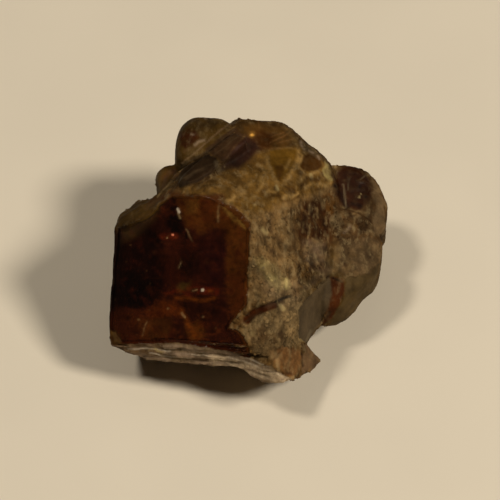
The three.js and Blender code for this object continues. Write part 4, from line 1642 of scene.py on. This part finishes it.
@dataclass
class CrustGrains:
    """Coarse grains that stand out of the crust, scattered where the skin is grainy."""

    finish: GrainFinish = GrainFinish()
    apart: float = 0.27 * MM
    density: float = 1.2e7
    smallest: float = 0.07 * MM
    largest: float = 0.21 * MM
    lowest: float = 0.6 * MM
    grainy: Swing = Swing(0.8, 1.0)
    slimmest: tuple[float, float, float] = (0.6, 0.6, 0.16)
    stoutest: tuple[float, float, float] = (1.4, 1.1, 0.36)
    lean: float = 0.6
    seed: int = 7
    name: str = "crust_grains"

    def build(self, skin: bpy.types.Object) -> bpy.types.Object:
        """Scatters the grains over the skin.

        Args:
            skin: The skin, whose grain values say where grains grow.

        Returns:
            The finished piece.
        """
        draft = bpy.data.objects.new("draft", skin.data.copy())
        bpy.context.scene.collection.objects.link(draft)
        scatter = draft.modifiers.new("scatter", "NODES")
        tree = self._tree()
        scatter.node_group = tree
        sizes = {
            "Apart": self.apart,
            "Density": self.density,
            "Smallest": self.smallest,
            "Largest": self.largest,
            "Lowest": self.lowest,
            "Seed": self.seed,
        }
        for item in tree.interface.items_tree:
            if item.item_type == "SOCKET" and item.name in sizes:
                scatter[item.identifier] = sizes[item.name]
        graph = bpy.context.evaluated_depsgraph_get()
        mesh = bpy.data.meshes.new_from_object(draft.evaluated_get(graph))
        draft.modifiers.clear()
        bpy.data.objects.remove(draft)
        mesh.name = self.name
        mesh.materials.clear()
        mesh.materials.append(self.finish.material())
        piece = bpy.data.objects.new(self.name, mesh)
        bpy.context.scene.collection.objects.link(piece)
        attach(piece, "root")
        return piece

    def _tree(self) -> bpy.types.NodeTree:
        """Builds the tree that scatters the grains.

        Returns:
            The tree.
        """
        tree = bpy.data.node_groups.new("scatter_grains", "GeometryNodeTree")
        n = Nodes(tree)
        tree.interface.new_socket("Geometry", in_out="INPUT", socket_type="NodeSocketGeometry")
        for name in ("Apart", "Density", "Smallest", "Largest", "Lowest"):
            tree.interface.new_socket(name, in_out="INPUT", socket_type="NodeSocketFloat")
        tree.interface.new_socket("Seed", in_out="INPUT", socket_type="NodeSocketInt")
        tree.interface.new_socket("Geometry", in_out="OUTPUT", socket_type="NodeSocketGeometry")
        given = n.add("NodeGroupInput").outputs
        grain = n.add("GeometryNodeInputNamedAttribute", {"Name": Field.GRAIN.value}, data_type="FLOAT")
        height = n.add("ShaderNodeSeparateXYZ", {0: n.add("GeometryNodeInputPosition").outputs[0]})
        points = n.add("GeometryNodeDistributePointsOnFaces", {
            "Mesh": given["Geometry"],
            "Selection": n.math("GREATER_THAN", height.outputs["Z"], given["Lowest"]),
            "Distance Min": given["Apart"],
            "Density Max": given["Density"],
            "Density Factor": n.spread(grain.outputs["Attribute"], self.grainy),
            "Seed": given["Seed"],
        }, distribute_method="POISSON")
        size = n.add("FunctionNodeRandomValue", {
            "Min_001": given["Smallest"],
            "Max_001": given["Largest"],
            "Seed": given["Seed"],
        }, data_type="FLOAT")
        shape = n.add("FunctionNodeRandomValue", {
            "Min": self.slimmest,
            "Max": self.stoutest,
            "Seed": n.math("ADD", given["Seed"], 1),
        }, data_type="FLOAT_VECTOR")
        turn = n.add("FunctionNodeRandomValue", {
            "Min": (-self.lean, -self.lean, 0.0),
            "Max": (self.lean, self.lean, math.tau),
            "Seed": n.math("ADD", given["Seed"], 2),
        }, data_type="FLOAT_VECTOR")
        laid = n.add("FunctionNodeRotateRotation", {
            "Rotation": points.outputs["Rotation"],
            "Rotate By": turn.outputs[0],
        }, rotation_space="LOCAL")
        luck = n.add("FunctionNodeRandomValue", {"Seed": n.math("ADD", given["Seed"], 3)}, data_type="FLOAT")
        grains = n.add("GeometryNodeInstanceOnPoints", {
            "Points": points.outputs["Points"],
            "Instance": n.add("GeometryNodeMeshIcoSphere").outputs["Mesh"],
            "Rotation": laid.outputs[0],
            "Scale": n.scale(shape.outputs[0], size.outputs[1]),
        })
        marked = n.add("GeometryNodeStoreNamedAttribute", {
            "Geometry": grains.outputs[0],
            "Name": Field.LUCK.value,
            "Value": luck.outputs[1],
        }, data_type="FLOAT", domain="INSTANCE")
        real = n.add("GeometryNodeRealizeInstances", {"Geometry": marked.outputs[0]})
        done = n.add("GeometryNodeSetMaterial", {
            "Geometry": real.outputs[0],
            "Material": self.finish.material(),
        })
        n.add("NodeGroupOutput", {0: done.outputs[0]})
        return tree


@dataclass(frozen=True)
class Lamp:
    """A round soft lamp, by the way it lights from: degrees from the front, and above the floor."""

    name: str
    heading: float
    rise: float
    power: float
    size: float
    colour: Colour
    distance: float = 0.6

    def place(self) -> None:
        """Adds the lamp, aimed at the specimen."""
        a, e = math.radians(self.heading), math.radians(self.rise)
        way = Vector((math.sin(a) * math.cos(e), -math.cos(a) * math.cos(e), math.sin(e)))
        data = bpy.data.lights.new(self.name, "AREA")
        data.shape = "DISK"
        data.size = self.size
        data.energy = self.power
        data.color = self.colour
        lamp = bpy.data.objects.new(self.name, data)
        lamp.location = way * self.distance
        lamp.rotation_mode = "QUATERNION"
        lamp.rotation_quaternion = way.to_track_quat("Z", "Y")
        bpy.context.scene.collection.objects.link(lamp)


@dataclass
class Studio:
    """Plain pale floor, soft lamps and the camera."""

    floor_size: float = 1.2
    sky: Colour = (1.0, 0.86, 0.66)
    sky_strength: float = 0.02
    lamps: tuple[Lamp, ...] = (
        Lamp("key_right", 67.0, 48.0, 2.55, 0.13, (1.0, 0.9, 0.74)),
        Lamp("key_left", -79.0, 65.0, 1.2, 0.1, (1.0, 0.9, 0.75)),
        Lamp("back", 180.0, 60.0, 0.14, 0.4, (1.0, 0.9, 0.75)),
    )
    sheet: Sheet = Sheet()
    paper: Speckle = Speckle(60.0, 2.0)
    paper_shade: Swing = Swing(0.3, 0.7, 0.97, 1.0)
    paper_rough: float = 0.85
    sensor: float = 36.0
    nearest: float = 0.01

    def build(self) -> None:
        """Adds the floor, the light and the camera."""
        self._floor()
        for lamp in self.lamps:
            lamp.place()
        self._sky()
        self._camera()
        bpy.context.scene.view_settings.view_transform = "Standard"

    def _floor(self) -> None:
        """Adds a plain sheet for the specimen to lie on."""
        half = self.floor_size / 2
        corners = [(-half, -half, 0), (half, -half, 0), (half, half, 0), (-half, half, 0)]
        mesh = bpy.data.meshes.new("floor")
        mesh.from_pydata(corners, [], [(0, 1, 2, 3)])
        made = bpy.data.materials.new("floor_paper")
        made.use_nodes = True
        n = Nodes(made.node_tree)
        place = n.add("ShaderNodeTexCoord").outputs["Object"]
        shade = n.spread(n.speckle(place, self.paper), self.paper_shade)
        body = n.add("ShaderNodeBsdfPrincipled", {
            "Base Color": n.scale(Tone.PAPER.linear, shade),
            "Roughness": self.paper_rough,
        })
        n.add("ShaderNodeOutputMaterial", {"Surface": body.outputs[0]})
        mesh.materials.append(made)
        floor = bpy.data.objects.new("floor", mesh)
        bpy.context.scene.collection.objects.link(floor)

    def _sky(self) -> None:
        """Adds the even light of the room."""
        world = bpy.data.worlds.new("room")
        world.use_nodes = True
        n = Nodes(world.node_tree)
        back = n.add("ShaderNodeBackground", {"Color": (*self.sky, 1), "Strength": self.sky_strength})
        n.add("ShaderNodeOutputWorld", {"Surface": back.outputs[0]})
        bpy.context.scene.world = world

    def _camera(self) -> None:
        """Adds the camera where the sheet's eye is."""
        distance = self.sheet.eye * MM
        data = bpy.data.cameras.new("camera")
        data.sensor_width = self.sensor
        data.lens = self.sensor / 2 * distance / (HALF_VIEW * MM)
        data.clip_start = self.nearest
        back = Vector(self.sheet.toward_eye())
        camera = bpy.data.objects.new("camera", data)
        camera.location = Vector(self.sheet.middle) * MM + back * distance
        camera.rotation_mode = "QUATERNION"
        camera.rotation_quaternion = back.to_track_quat("Z", "Y")
        bpy.context.scene.collection.objects.link(camera)
        bpy.context.scene.camera = camera


def main() -> None:
    """Builds the specimen and its studio, and notes both sizes."""
    logging.basicConfig(level=logging.INFO, format="%(name)s: %(message)s")
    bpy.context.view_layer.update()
    Studio().build()
    skin = Skin().build()
    for piece in (skin, CrustGrains().build(skin)):
        piece.data.calc_loop_triangles()
        log.info("%s: %d triangles", piece.name, len(piece.data.loop_triangles))
    bpy.context.view_layer.update()


if __name__ == "__main__":
    main()
